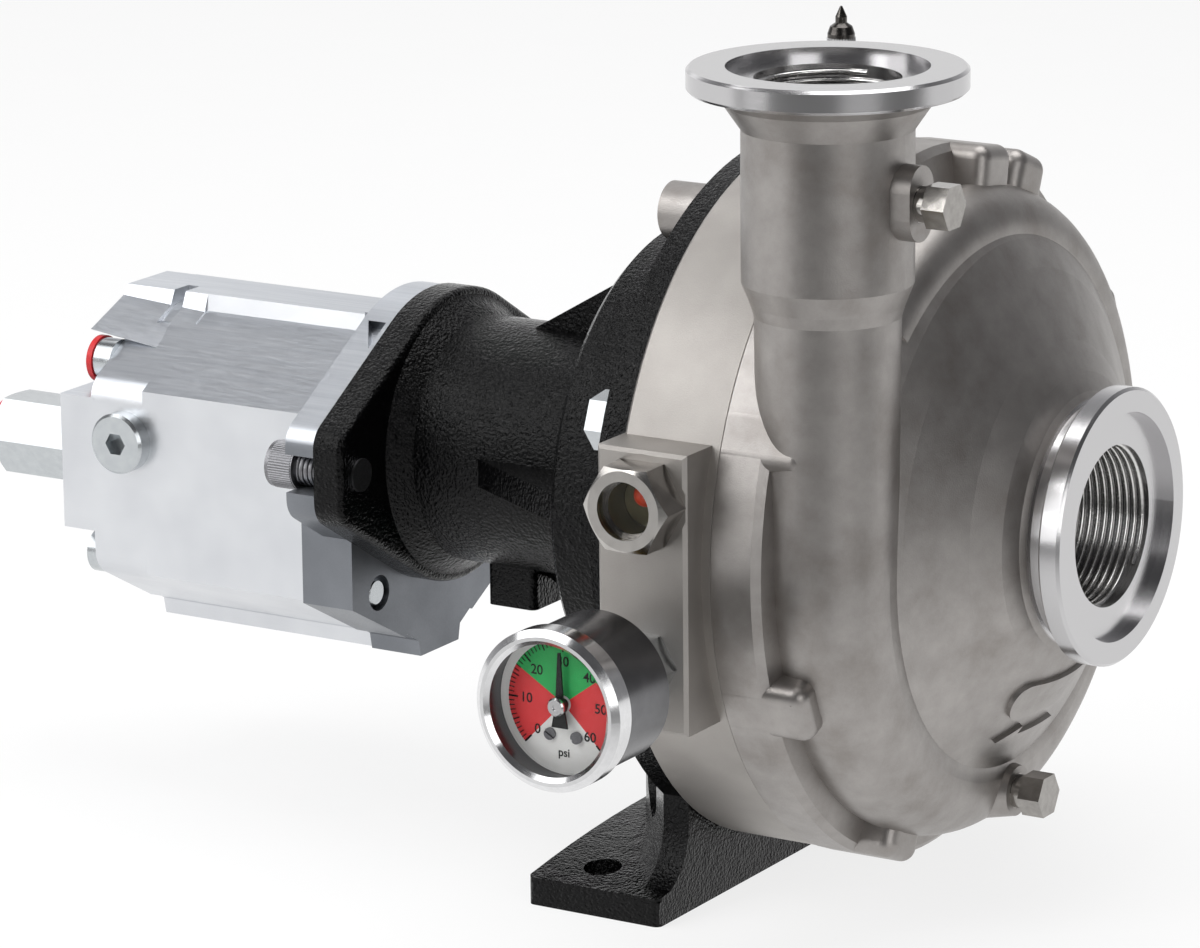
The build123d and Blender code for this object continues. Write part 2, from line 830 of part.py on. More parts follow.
def raised_marks():
    """Bare pad with one round end and an arrow below it, raised off the sloping front wall."""
    wall_x = spiral_x + spiral_start_radius + 17.5
    slope = Plane(origin=(wall_x, pad_y, shaft_height + pad_z), x_dir=(0, 1, 0), z_dir=(0.8, 0, -0.6))
    half = pad_width / 2
    straight = Rectangle(pad_length - half, pad_width, align=(Align.MIN, Align.CENTER))
    pad = Pos(half - pad_length / 2, 0) * (straight + Circle(half))
    arrow = Polygon((-16, 0), (-5, 3.5), (-6, 1.2), (14, 1.2), (14, -1.2), (-8, -1.2), align=None)
    marks = slope * extrude(pad, 4 * pad_rise, both=True)
    marks += slope * Pos(0, -arrow_drop, 0) * extrude(arrow, 4 * pad_rise, both=True)
    return marks & (Pos(pad_rise, 0, 0) * casing_outside())


def volute_casing():
    """Volute: spiral passage round the impeller, suction hub and discharge neck in one casting."""
    body = casing_outside() + spiral(spiral_start_angle, 0) + discharge_outside()
    for angle in bolt_angles():
        body += casing_lug(angle)
    body += casing_lug(vent_lug_angle)
    drain = shaft_plane() * Pos(0, drain_height, 0)
    drain_end = spiral_x + spiral_end_radius - 5 + drain_boss_length / 2
    body += turned(
        [(drain_end - 16, 0), (drain_end - 16, drain_boss_radius + 2.5), (drain_end, drain_boss_radius - 1),
         (drain_end, 0)],
        drain,
    )
    vent = shaft_plane() * Pos(-neck_offset, vent_plug_height, 0)
    boss = SlotOverall(vent_boss_height, vent_boss_width, rotation=90)
    body += vent * Pos(0, 0, spiral_x) * extrude(boss, vent_boss_reach)
    body += raised_marks()
    body -= casing_inside() + spiral(passage_start_angle, volute_wall) + discharge_inside()
    body -= rod(plug_thread_radius + screw_clearance, drain_end - plug_thread_depth, drain_end + 1, drain)
    body -= rod(plug_thread_radius - 2, drain_end - 22, drain_end, drain)
    vent_end = spiral_x + vent_boss_reach
    body -= rod(plug_thread_radius + screw_clearance, vent_end - plug_thread_depth, vent_end + 1, vent)
    body -= rod(plug_thread_radius - 2, spiral_x, vent_end, vent)
    for angle in bolt_angles():
        y, z = polar(bolt_circle_radius, angle)
        hole_end = joint_x + bolt_engagement + thread_runout
        body -= rod(bolt_radius + screw_clearance, joint_x - 1, hole_end, shaft_plane() * Pos(y, z, 0))
    body -= oring_groove()
    return body


def oring_groove():
    """Groove for the casing O-ring, in the corner of the joint."""
    width = 2 * oring_radius
    bore = spigot_radius + seat_clearance - 0.02
    return pipe(bore + width, bore, joint_x - 1, joint_x + width, shaft_plane())


def casing_oring():
    """O-ring round the spigot, just inside the joint line."""
    radius = oring_radius - oring_squeeze
    place = Pos(joint_x + oring_radius, 0, shaft_height) * Rot(0, 90, 0)
    return place * Torus(spigot_radius + oring_radius, radius)


def vane():
    """Outline of one backward-swept vane, a curved plate between two arcs about one centre."""
    stations = [
        (vane_inlet_radius, 0.0),
        ((vane_inlet_radius + impeller_radius) / 2, vane_wrap * 0.62),
        (impeller_radius + 1, vane_wrap),
    ]
    points = [Vector(radius, 0, 0).rotate(Axis.Z, angle) for radius, angle in stations]
    centre = ThreePointArc(*points).arc_center

    def side(amount):
        return ThreePointArc(*[point + (point - centre).normalized() * amount for point in points])

    outer = side(vane_thickness / 2)
    inner = side(-vane_thickness / 2)
    return make_face([outer, Line(outer @ 1, inner @ 1), inner, Line(inner @ 0, outer @ 0)])


def impeller():
    """Closed impeller: back shroud with hub, front shroud with eye neck, and vanes between."""
    shaft = shaft_plane()
    eye_end = eye_end_x
    bore = impeller_shaft_radius + running_clearance
    nose = washer_x
    back_x = eye_end - impeller_shroud_depth
    back = turned(
        [
            (impeller_hub_x, bore), (impeller_hub_x, hub_radius), (back_x, hub_radius + 2),
            (back_x + 1.6, impeller_radius), (back_x + 4.6, impeller_radius),
            (back_x + 5.6, impeller_radius - 19), (back_x + 8.1, impeller_radius - 34),
            (back_x + 12.1, impeller_radius - 44), (nose, washer_radius + 1), (nose, bore),
        ],
        shaft,
    )
    front = turned(
        [
            (eye_end, eye_radius), (eye_end - 5, eye_radius + 1.3), (eye_end - 8.4, eye_radius + 5.8),
            (eye_end - 10.9, impeller_radius - 26), (eye_end - 13.9, impeller_radius - 14),
            (eye_end - 15.9, impeller_radius), (eye_end - 13.4, impeller_radius),
            (eye_end - 10, impeller_radius - 9), (eye_end - 6.5, impeller_radius - 19),
            (eye_end - 4.5, impeller_radius - 28), (eye_end - 3.9, eye_neck_radius + 3.5),
            (eye_end - 3.9, eye_neck_radius), (eye_end, eye_neck_radius),
        ],
        shaft,
    )
    between = turned(
        [
            (eye_end - 25.4, impeller_radius), (eye_end - 24.4, impeller_radius - 19),
            (eye_end - 21.9, impeller_radius - 34), (eye_end - 17.9, impeller_radius - 46),
            (eye_end - 6, impeller_radius - 46), (eye_end - 4.6, eye_radius + 1.9),
            (eye_end - 7.4, eye_radius + 7), (eye_end - 9.7, impeller_radius - 25),
            (eye_end - 12.6, impeller_radius - 13), (eye_end - 14.6, impeller_radius),
        ],
        shaft,
    )
    blade = vane()
    vanes = None
    for index in range(vane_count):
        turn = Rot(0, 0, index * 360 / vane_count)
        plate = shaft_plane(eye_end - 30) * turn * extrude(blade, 30)
        vanes = plate if vanes is None else vanes + plate
    wheel = back + front + (vanes & between)
    keyway = impeller_key_box(0.05)
    return wheel - keyway


def impeller_key_box(grow):
    """Box of the impeller's key, grown for its keyways."""
    centre = (eye_end_x - 26, 0, shaft_height + impeller_shaft_radius)
    return Pos(*centre) * Box(impeller_key_length + 2 * grow, key_width + 2 * grow, key_height + 2 * grow)


def impeller_key():
    """Square key between shaft and impeller."""
    return impeller_key_box(0)


def impeller_washer():
    """Washer that holds the impeller on the shaft."""
    return pipe(washer_radius, impeller_bolt_radius + 0.1, washer_x, impeller_bolt_x, shaft_plane())


def impeller_bolt():
    """Hex bolt in the shaft's end."""
    start = impeller_bolt_x
    shaft = shaft_plane()
    head = prism(impeller_bolt_across, start, start + impeller_bolt_head, shaft)
    return head + rod(impeller_bolt_radius, start - impeller_bolt_length, start, shaft)


def motor_key_box(grow):
    """Box of the key between the motor's shaft and the pump shaft."""
    centre = (shaft_rear_x + coupling_length / 2, 0, shaft_height + motor_shaft_radius)
    return Pos(*centre) * Box(motor_key_length + 2 * grow, key_width + 2 * grow, key_height / 2 + 2 * grow)


def coupling_key():
    """Key between the motor's shaft and the pump shaft."""
    return motor_key_box(0)


def pump_shaft():
    """Stepped shaft: bored for the motor's shaft at the rear, tapped for the impeller bolt in front."""
    shaft = shaft_plane()
    inner = bearing_inner_radius - seat_clearance
    between = bearing_inner_radius + bearing_shoulder - 1
    rear_end = rear_bearing_x + bearing_width
    front_end = front_bearing_x + bearing_width
    nose = eye_end_x - 11
    shoulder = impeller_hub_x
    ring_end = front_end + snap_ring_thickness
    bore = motor_shaft_radius + running_clearance
    body = turned(
        [
            (shaft_rear_x, bore), (shaft_rear_x, inner), (rear_end, inner), (rear_end, between),
            (front_bearing_x, between), (front_bearing_x, inner), (front_end, inner),
            (front_end, inner - snap_ring_depth), (ring_end, inner - snap_ring_depth),
            (ring_end, seal_shaft_radius), (shoulder, seal_shaft_radius),
            (shoulder, impeller_shaft_radius), (nose, impeller_shaft_radius), (nose, 0),
            (shaft_rear_x + coupling_length, 0), (shaft_rear_x + coupling_length, bore),
        ],
        shaft,
    )
    hole_end = impeller_bolt_x - impeller_bolt_length - 2
    body -= rod(impeller_bolt_radius + screw_clearance, hole_end, nose + 1, shaft)
    body -= motor_key_box(0.05)
    body -= impeller_key_box(0.05)
    return body


def bearing_rings(inner_ring):
    """Either ring of both ball bearings, with the ball groove cut in."""
    shaft = shaft_plane()
    race_radius = (bearing_outer_radius + bearing_inner_radius) / 2
    rings = []
    for start in (rear_bearing_x, front_bearing_x):
        if inner_ring:
            ring = pipe(bearing_inner_radius + bearing_ring_thickness, bearing_inner_radius,
                        start, start + bearing_width, shaft)
        else:
            ring = pipe(bearing_outer_radius, bearing_outer_radius - bearing_ring_thickness,
                        start, start + bearing_width, shaft)
        place = Pos(start + bearing_width / 2, 0, shaft_height) * Rot(0, 90, 0)
        rings.append(ring - place * Torus(race_radius, ball_radius + ball_gap))
    return Compound(children=[ring.solid() for ring in rings])


def ball_set(start):
    """Balls of one bearing and the cage that spaces them."""
    race_radius = (bearing_outer_radius + bearing_inner_radius) / 2
    middle = start + bearing_width / 2
    shaft = shaft_plane()
    cage = pipe(race_radius + cage_wall, race_radius - cage_wall, middle - 4.6, middle + 4.6, shaft)
    balls = []
    for index in range(ball_count):
        y, z = polar(race_radius, 360 * index / ball_count)
        place = Pos(middle, y, shaft_height + z)
        cage -= place * Sphere(ball_radius + ball_gap)
        balls.append((place * Sphere(ball_radius)).solid())
    return Compound(children=balls + [cage.solid()])


def frame_snap_rings():
    """Snap rings that hold both bearings in the frame."""
    shaft = shaft_plane()
    outer = bearing_outer_radius + snap_ring_depth - seat_clearance
    inner = bearing_outer_radius - 2
    rings = []
    for start in (rear_bearing_x - snap_ring_thickness, front_bearing_x + bearing_width):
        ring = pipe(outer, inner, start + 0.05, start + snap_ring_thickness - 0.05, shaft)
        top = Pos(start, 0, shaft_height + bearing_outer_radius)
        gap = top * Box(4 * snap_ring_thickness, snap_ring_gap, 10)
        rings.append((ring - gap).solid())
    return Compound(children=rings)


def shaft_snap_ring():
    """Snap ring on the shaft, in front of the front bearing."""
    start = front_bearing_x + bearing_width
    inner = bearing_inner_radius - snap_ring_depth
    ring = pipe(inner + 3.2, inner, start + 0.05, start + snap_ring_thickness - 0.05, shaft_plane())
    gap = Pos(start, 0, shaft_height - bearing_inner_radius) * Box(4 * snap_ring_thickness, 3, 8)
    return ring - gap


def seal_seats():
    """Both stationary ceramic seats, one in each wall of the barrier chamber."""
    shaft = shaft_plane()
    inboard = front_wall_x + housing_front_wall
    outboard = housing_back_x + housing_back_wall
    seats = [
        pipe(seat_radius, seat_inner_radius, inboard - seat_length, inboard, shaft),
        pipe(seat_radius, seat_inner_radius, outboard - seat_length, outboard, shaft),
    ]
    return Compound(children=[seat.solid() for seat in seats])


def seat_cups():
    """Rubber cups that seal the seats in the housing."""
    shaft = shaft_plane()
    inboard = front_wall_x + housing_front_wall
    outboard = housing_back_x + housing_back_wall
    cups = [
        pipe(seal_bore_radius, seat_radius + seat_gap, inboard - seat_length, inboard, shaft),
        pipe(seal_bore_radius, seat_radius + seat_gap, outboard - seat_length, outboard, shaft),
    ]
    return Compound(children=[cup.solid() for cup in cups])


def seal_heads():
    """Both rotating seal heads, which the spring presses on the seats."""
    shaft = shaft_plane()
    bore = seal_shaft_radius + running_clearance
    inboard = joint_x - seat_length - seal_face_gap
    outboard = housing_back_x + housing_back_wall + seal_face_gap
    nose = seal_head_radius - 1.5
    heads = [
        turned([(inboard, bore), (inboard, nose), (inboard - 2, nose),
                (inboard - 2, seal_head_radius), (inboard - inboard_head_length, seal_head_radius),
                (inboard - inboard_head_length, bore)], shaft),
        turned([(outboard, bore), (outboard, nose), (outboard + 1.5, nose),
                (outboard + 1.5, seal_head_radius), (outboard + outboard_head_length, seal_head_radius),
                (outboard + outboard_head_length, bore)], shaft),
    ]
    return Compound(children=[head.solid() for head in heads])


def seal_spring():
    """Wave spring between the seal heads, shown as its stacked rings."""
    shaft = shaft_plane()
    start = housing_back_x + housing_back_wall + seal_face_gap + outboard_head_length
    end = joint_x - seat_length - seal_face_gap - inboard_head_length
    return pipe(seal_spring_radius, seal_spring_radius - 2.4, start, end, shaft)


def casing_bolts():
    """Hex bolts from the frame's rim through the seal housing into the casing's lugs."""
    bolts = []
    for angle in bolt_angles()[1:]:
        y, z = polar(bolt_circle_radius, angle)
        place = shaft_plane() * Pos(y, z, 0)
        bolt = prism(bolt_head_across, rim_back_x - bolt_head_height, rim_back_x, place, turn=angle)
        bolt += rod(bolt_radius, rim_back_x, joint_x + bolt_engagement, place)
        bolts.append(bolt.solid())
    return Compound(children=bolts)


def rim_cap_screw():
    """Round-headed cap screw, in place of a hex bolt beside the discharge."""
    y, z = polar(bolt_circle_radius, bolt_angles()[0])
    place = shaft_plane() * Pos(y, z, 0)
    head_start = rim_back_x - cap_screw_head_height
    screw = rod(cap_screw_head_radius, head_start, rim_back_x, place)
    screw += rod(bolt_radius, rim_back_x, joint_x + bolt_engagement, place)
    return screw - prism(cap_screw_socket, head_start - 1, head_start + 5, place)


def pipe_plug(plane):
    """Hex-headed pipe plug, seated on the plane."""
    collar = plug_thread_radius - 0.2
    plug = rod(plug_thread_radius, -plug_thread_depth + 0.5, 0, plane)
    plug += rod(collar, 0, plug_collar_length, plane)
    plug += prism(plug_head_across, plug_collar_length, plug_collar_length + plug_head_length, plane)
    return plug


def drain_plug():
    """Plug at the lowest point of the volute."""
    drain_end = spiral_x + spiral_end_radius - 5 + drain_boss_length / 2
    return pipe_plug(shaft_plane(drain_end) * Pos(0, drain_height, 0))


def vent_plug():
    """Plug in the discharge neck."""
    return pipe_plug(shaft_plane(spiral_x + vent_boss_reach) * Pos(-neck_offset, vent_plug_height, 0))


def motor_front_cover():
    """Die-cast front cover with the pilot and the slotted flange."""
    shaft = shaft_plane()
    cover = shaft_plane(cover_back_x) * extrude(motor_outline(cover_growth), cover_length)
    flange_back = shaft_plane(motor_face_x - cover_flange_thickness)
    cover += flange_back * extrude(pad_outline(-cover_growth), cover_flange_thickness)
    cover += rod(pilot_radius, motor_face_x - 1, motor_face_x + pilot_height, shaft)
    for side in (-1, 1):
        slot = Box(slot_length, slot_width, 3 * cover_length)
        slot = fillet(slot.edges().filter_by(Axis.Z), slot_width / 2 - 0.1)
        centre = side * (motor_bolt_spacing + slot_length - slot_width) / 2
        cover -= shaft_plane(motor_face_x) * Pos(centre, 0, 0) * slot
        cover -= edge_pocket(side)
    cover -= rod(motor_shaft_radius + 0.6, cover_back_x - 1, motor_face_x + pilot_height + 1, shaft)
    seal_back = motor_face_x + pilot_height - shaft_seal_length - 1
    cover -= rod(shaft_seal_radius, seal_back, motor_face_x + pilot_height + 1, shaft)
    for y, z in tie_bolt_places():
        place = shaft * Pos(y, z, 0)
        cover -= rod(tie_bolt_radius + screw_clearance, cover_back_x - 1, motor_face_x + 1, place)
        cover -= rod(tie_bolt_bore_radius, motor_face_x - tie_bolt_bore_depth, motor_face_x + 1, place)
    for y, z in cover_screw_places():
        place = shaft * Pos(y, z, 0)
        cover -= rod(tie_bolt_radius + bolt_clearance, cover_back_x - 1, motor_face_x + 1, place)
        pocket = tie_bolt_head_radius + bolt_clearance
        cover -= rod(pocket, motor_face_x - cover_screw_seat, motor_face_x + pilot_height + 1, place)
    return cover


def edge_pocket(side):
    """Small wedge-shaped pocket in the slanted edge of the front cover's flange."""
    reach = pad_radius - cover_growth
    ear_distance = math.hypot(pad_ear_y, pad_ear_height)
    ear_turn = math.degrees(math.atan2(pad_ear_height, pad_ear_y))
    lean = ear_turn + math.degrees(math.acos((reach - pad_ear_radius + cover_growth) / ear_distance))
    half = pocket_width / 2
    wedge = Polygon((0, -half), (pocket_height, half), (0, half), align=None)
    middle = motor_face_x - cover_flange_thickness / 2
    face = Plane(origin=(0, 0, reach), x_dir=(0, -1, 0), z_dir=(0, 0, 1))
    cut = face * extrude(wedge, -pocket_depth)
    return Pos(middle, 0, shaft_height) * Rot(-side * (90 - lean), 0, 0) * cut


def front_cover_screws():
    """Two socket screws from the front into the rear cover, sunk in the pilot."""
    screws = []
    for y, z in cover_screw_places():
        place = shaft_plane() * Pos(y, z, 0)
        seat = motor_face_x - cover_screw_seat
        head_end = seat + tie_bolt_head_height
        screw = rod(tie_bolt_head_radius, seat, head_end, place)
        screw += rod(tie_bolt_radius, seat - cover_screw_length, seat, place)
        screw -= prism(tie_socket, head_end - tie_socket_depth, head_end + 1, place)
        screws.append(screw.solid())
    return Compound(children=screws)


def motor_shaft_seal():
    """Lip seal round the motor's shaft."""
    start = motor_face_x + pilot_height - shaft_seal_length - 1
    end = start + shaft_seal_length
    return pipe(shaft_seal_radius, motor_shaft_radius + 0.1, start, end, shaft_plane())


def gear_chamber(radius, start, end):
    """Figure-of-eight bore round both gears."""
    upper = rod(radius, start, end, shaft_plane())
    return upper + rod(radius, start, end, shaft_plane() * Pos(0, -2 * gear_pitch_radius, 0))


def motor_gear_housing():
    """Extruded housing round the gears."""
    body = shaft_plane(gear_housing_back_x) * extrude(motor_outline(), gear_housing_length)
    bore = gear_outer_radius + gear_tip_clearance
    body -= gear_chamber(bore, gear_housing_back_x - 1, cover_back_x + 1)
    for y, z in tie_bolt_places() + cover_screw_places():
        place = shaft_plane() * Pos(y, z, 0)
        body -= rod(tie_bolt_radius + bolt_clearance, gear_housing_back_x - 1, cover_back_x + 1, place)
    return body


def motor_bushings():
    """Bearing blocks that carry both gear shafts, one on each side of the gears."""
    front_start = cover_back_x - bushing_length
    blocks = []
    for start in (front_start, gear_housing_back_x):
        block = gear_chamber(gear_outer_radius, start, start + bushing_length)
        for height in (0, -2 * gear_pitch_radius):
            place = shaft_plane() * Pos(0, height, 0)
            end = start + bushing_length
            block -= rod(motor_shaft_radius + running_clearance, start - 1, end + 1, place)
        blocks.append(block.solid())
    return Compound(children=blocks)


def drive_gear():
    """Upper gear in one piece with the motor's output shaft."""
    shaft = shaft_plane()
    gear = involute_gear(gear_width, shaft_plane(gear_middle_x), 0.0)
    gear += rod(motor_shaft_radius, gear_housing_back_x + 1, motor_face_x + motor_shaft_reach, shaft)
    return gear - motor_key_box(0.05)


def idler_gear():
    """Lower gear, driven by the upper one."""
    place = shaft_plane(gear_middle_x) * Pos(0, -2 * gear_pitch_radius, 0)
    gear = involute_gear(gear_width, place, 0.5)
    return gear + rod(motor_shaft_radius, -gear_housing_length / 2 + 1, gear_housing_length / 2 - 1, place)


def slanted_corners(cover):
    """Long edges of the rear cover where its sides turn into the slanted faces."""
    edges = cover.edges().filter_by(Axis.X)
    return [edge for edge in edges if abs(edge.center().Y) > motor_half_width - 5]


def rear_ledge():
    """Upper part of the rear cover, which reaches further back over the ports."""
    root = [(rear_ledge_reach - 1, motor_top - rear_ledge_drop - 4), (motor_facet_top_y, motor_top - 5)]
    end = [(rear_ledge_reach, motor_top - rear_ledge_drop), (motor_facet_top_y, motor_top - 3)]
    sections = []
    for x, side in ((gear_housing_back_x, root), (rear_cover_back_x - rear_ledge_length, end)):
        right = side + [(motor_ridge_y, motor_top - 0.1)]
        left = [(-y, z) for y, z in reversed(right)]
        sections.append(shaft_plane(x) * make_face(Polyline(*(right + left), close=True)))
    return loft(sections, ruled=True)


def motor_rear_cover():
    """Rear cover with the port block on its back and a ledge above the ports."""
    shaft = shaft_plane()
    cover = shaft_plane(rear_cover_back_x) * extrude(motor_outline(), rear_cover_length)
    cover = fillet(slanted_corners(cover), rear_cover_round)
    block = Pos(port_block_back_x, -motor_half_width, shaft_height + port_block_bottom) * Box(
        port_block_length + 1, port_block_width, port_block_top - port_block_bottom,
        align=(Align.MIN, Align.MIN, Align.MIN),
    )
    cover += block + rear_ledge()
    arc_slot = pipe(motor_top + 6, motor_top - 3, gear_housing_back_x - 12, gear_housing_back_x - 8, shaft)
    window = Pos(gear_housing_back_x - 10, -14, shaft_height + motor_top) * Box(8, 22, 16)
    cover -= arc_slot & window
    front = gear_housing_back_x + 1
    for y, z in tie_bolt_places():
        place = shaft * Pos(y, z, 0)
        cover -= rod(tie_bolt_radius + bolt_clearance, rear_cover_back_x - 1, front, place)
    for y, z in cover_screw_places():
        tip = motor_face_x - cover_screw_seat - cover_screw_length
        cover -= rod(tie_bolt_radius + screw_clearance, tip - 1, front, shaft * Pos(y, z, 0))
    side = side_plane(plug_station_x, -motor_half_width, -plug_drop)
    cover -= rod(port_plug_thread + screw_clearance, -port_plug_depth - 1, 1, side)
    adapter = rear_plane(port_block_back_x, adapter_y, adapter_z)
    cover -= rod(adapter_thread + screw_clearance, -adapter_depth - 0.5, 1, adapter)
    cover -= rod(adapter_bore, -adapter_depth - 8, 0, adapter)
    return cover - rod(return_thread + screw_clearance, -return_thread_depth - 0.5, 1, return_plane())


def motor_tie_bolts():
    """Two long socket screws that hold the motor together from behind."""
    bolts = []
    for y, z in tie_bolt_places():
        place = shaft_plane() * Pos(y, z, 0)
        head_start = rear_cover_back_x - tie_bolt_head_height
        tip = motor_face_x - tie_bolt_tip_setback
        bolt = rod(tie_bolt_head_radius, head_start, rear_cover_back_x, place)
        bolt += rod(tie_bolt_radius, rear_cover_back_x, tip, place)
        bolt = chamfer(bolt.faces().sort_by(Axis.X)[-1].edges(), 0.6)
        bolt -= prism(tie_socket, head_start - 1, head_start + tie_socket_depth, place)
        bolts.append(bolt.solid())
    return Compound(children=bolts)


def motor_mount_screws():
    """Two knurled socket screws through the cover's open slots into the frame's pad."""
    screws = []
    for side in (-1, 1):
        place = shaft_plane() * Pos(side * motor_bolt_spacing / 2, 0, 0)
        head_end = motor_face_x - cover_flange_thickness
        screw = rod(mount_screw_head_radius, head_end - mount_screw_head_height, head_end, place)
        screw += rod(mount_screw_radius, head_end, pad_front_x + 0.6, place)
        head_start = head_end - mount_screw_head_height
        screw -= prism(mount_screw_socket, head_start - 1, head_start + 4, place)
        screws.append(screw.solid())
    return Compound(children=screws)


def port_plug():
    """Zinc-plated socket plug in the side of the rear cover."""
    plane = side_plane(plug_station_x, -motor_half_width, -plug_drop)
    plug = rod(plug_flange_radius, 0, plug_flange_length, plane)
    plug = chamfer(plug.faces().sort_by(Axis.Y)[0].edges(), 0.8)
    plug += rod(port_plug_thread, -port_plug_depth, 0, plane)
    return plug - prism(port_plug_socket, plug_flange_length - 4, plug_flange_length + 1, plane)


def port_adapter():
    """Long hex adapter in the port block, open at the rear for the hose."""
    plane = rear_plane(port_block_back_x, adapter_y, adapter_z)
    body = prism(adapter_across, 0, adapter_length, plane)
    ring = turned([(-1, 0), (-1, adapter_across * 0.6), (adapter_length - 1.6, adapter_across * 0.6),
                   (adapter_length, adapter_across / 2 - 0.6), (adapter_length, 0)], plane)
    body = (body & ring) + rod(adapter_thread, -adapter_depth, 0, plane)
    body -= rod(adapter_bore, -adapter_depth - 1, adapter_length + 1, plane)
    return body - rod(adapter_thread - 1, adapter_length - 12, adapter_length + 1, plane)


def return_plane():
    """Plane of the small return port, which looks back from the rear cover."""
    return rear_plane(rear_cover_back_x, return_y, return_z)


def return_fitting():
    """Short round fitting in the rear cover's second port."""
    plane = return_plane()
    body = rod(return_radius, 0, return_length, plane)
    body += rod(return_thread, -return_thread_depth, 0, plane)
    return body - rod(return_bore, -return_thread_depth - 1, return_length + 1, plane)


def dust_cap():
    """Red plastic cap over the return fitting, with its stem in the bore."""
    plane = return_plane()
    start = return_length + 0.2
    cap = rod(dust_cap_radius, start, start + dust_cap_thickness, plane)
    return cap + rod(return_bore - seat_clearance, start - dust_cap_stem_length, start, plane)


def adapter_plug():
    """Red plastic plug in the open end of the hex adapter."""
    plane = rear_plane(port_block_back_x, adapter_y, adapter_z)
    plug = rod(adapter_plug_rim, adapter_length, adapter_length + adapter_plug_rim_length, plane)
    shank = adapter_thread - 1 - seat_clearance
    start = adapter_length - adapter_plug_depth
    return plug + pipe(shank, shank - adapter_plug_wall, start, adapter_length, plane)


def sight_glass_body():
    """Hex sight-glass body, screwed into the port block."""
    plane = side_plane(port_x, block_face_y + spotface_depth, sight_port_height)
    ring = turned([(-1, 0), (-1, sight_across), (sight_head_length - 1.5, sight_across * 0.59),
                   (sight_head_length, sight_across / 2 - 0.4), (sight_head_length, 0)], plane)
    body = (prism(sight_across, 0, sight_head_length, plane) & ring)
    body += rod(sight_thread_radius, -sight_thread_depth + 0.5, 0, plane)
    body -= rod(sight_bore_radius, -sight_thread_depth, sight_head_length + 1, plane)
    lens_seat = sight_head_length - lens_setback - lens_thickness
    return body - rod(lens_radius + seat_clearance, lens_seat, sight_head_length + 1, plane)


def sight_glass_lens():
    """Glass of the sight glass."""
    plane = side_plane(port_x, block_face_y + spotface_depth, sight_port_height)
    start = sight_head_length - lens_setback - lens_thickness
    return rod(lens_radius, start, start + lens_thickness, plane)


def level_ball():
    """Red ball that floats in the barrier fluid behind the glass."""
    depth = sight_head_length - lens_setback - lens_thickness - level_ball_set_back
    centre = (port_x + 1.5, block_face_y + spotface_depth - depth,
              shaft_height + sight_port_height + level_ball_rise)
    return Pos(*centre) * Sphere(level_ball_radius)


def gauge_plane(out=0.0):
    """Plane across the gauge, at a distance out from the block's face."""
    return side_plane(port_x, block_face_y + spotface_depth - out, gauge_port_height)


def gauge_adapter():
    """Zinc-plated hex adapter between the block and the gauge."""
    plane = gauge_plane()
    body = prism(adapter_hex_across, 0, adapter_hex_length, plane)
    body += rod(gauge_thread_radius, -gauge_thread_depth + 0.5, 0, plane)
    body -= rod(gauge_passage_radius, -gauge_thread_depth, adapter_hex_length + 1, plane)
    start = adapter_hex_length - 4
    return body - rod(gauge_stem_radius + screw_clearance, start, adapter_hex_length + 1, plane)


def gauge_socket():
    """Brass gauge socket with its wrench flats and the bourdon tube's seat."""
    start = adapter_hex_length
    plane = gauge_plane(start)
    body = rod(gauge_stem_radius, -3.8, 0, plane)
    body += prism(gauge_hex_across, 0, gauge_hex_length, plane, turn=30)
    body += rod(gauge_stem_radius, gauge_hex_length, gauge_hex_length + gauge_stem_length, plane)
    return body - rod(gauge_passage_radius / 2, -5, gauge_hex_length + gauge_stem_length - 2, plane)


def case_plane():
    """Plane of the gauge case's back."""
    return gauge_plane(adapter_hex_length + gauge_hex_length)


def gauge_case():
    """Stainless gauge case, a cup open to the front."""
    plane = case_plane()
    rim = case_length - bezel_lip - gauge_lens_thickness
    body = turned(
        [
            (0, 0), (0, case_radius - 2), (2, case_radius), (rim, case_radius),
            (rim, case_radius - case_wall), (2.5, case_radius - case_wall),
            (case_wall, case_radius - 3), (case_wall, 0),
        ],
        plane,
    )
    return body - rod(gauge_stem_radius + seat_clearance, -1, case_wall + 1, plane)


def gauge_bezel():
    """Polished ring that holds the lens on the case."""
    plane = case_plane()
    start = case_length - bezel_length
    inner = case_radius + seat_clearance
    lens = gauge_lens_radius + seat_clearance
    lens_start = case_length - bezel_lip - gauge_lens_thickness
    return turned(
        [
            (start, inner), (start, bezel_radius - 0.8), (start + 1, bezel_radius),
            (case_length - 1.5, bezel_radius), (case_length, bezel_radius - 1.8),
            (case_length, bezel_opening + 1.2),
            (case_length - bezel_lip, bezel_opening), (case_length - bezel_lip, lens), (lens_start, lens),
            (lens_start, inner),
        ],
        plane,
    )


def gauge_lens():
    """Clear window of the gauge."""
    start = case_length - bezel_lip - gauge_lens_thickness
    return rod(gauge_lens_radius, start, start + gauge_lens_thickness, case_plane())


def dial_height():
    """Height of the dial's face above the back of the case."""
    return case_length - dial_depth


def gauge_dial():
    """Dial plate, bored for the pointer's arbor and held by two screws."""
    top = dial_height()
    plane = case_plane()
    dial = rod(dial_radius, top - dial_thickness, top, plane)
    dial -= rod(arbor_radius + 0.6, top - 2, top + 1, plane)
    for side in (-1, 1):
        place = plane * Pos(side * dial_screw_x, -dial_screw_drop, 0)
        dial -= rod(dial_screw_radius / 2 + 0.1, top - 2, top + 1, place)
    return dial


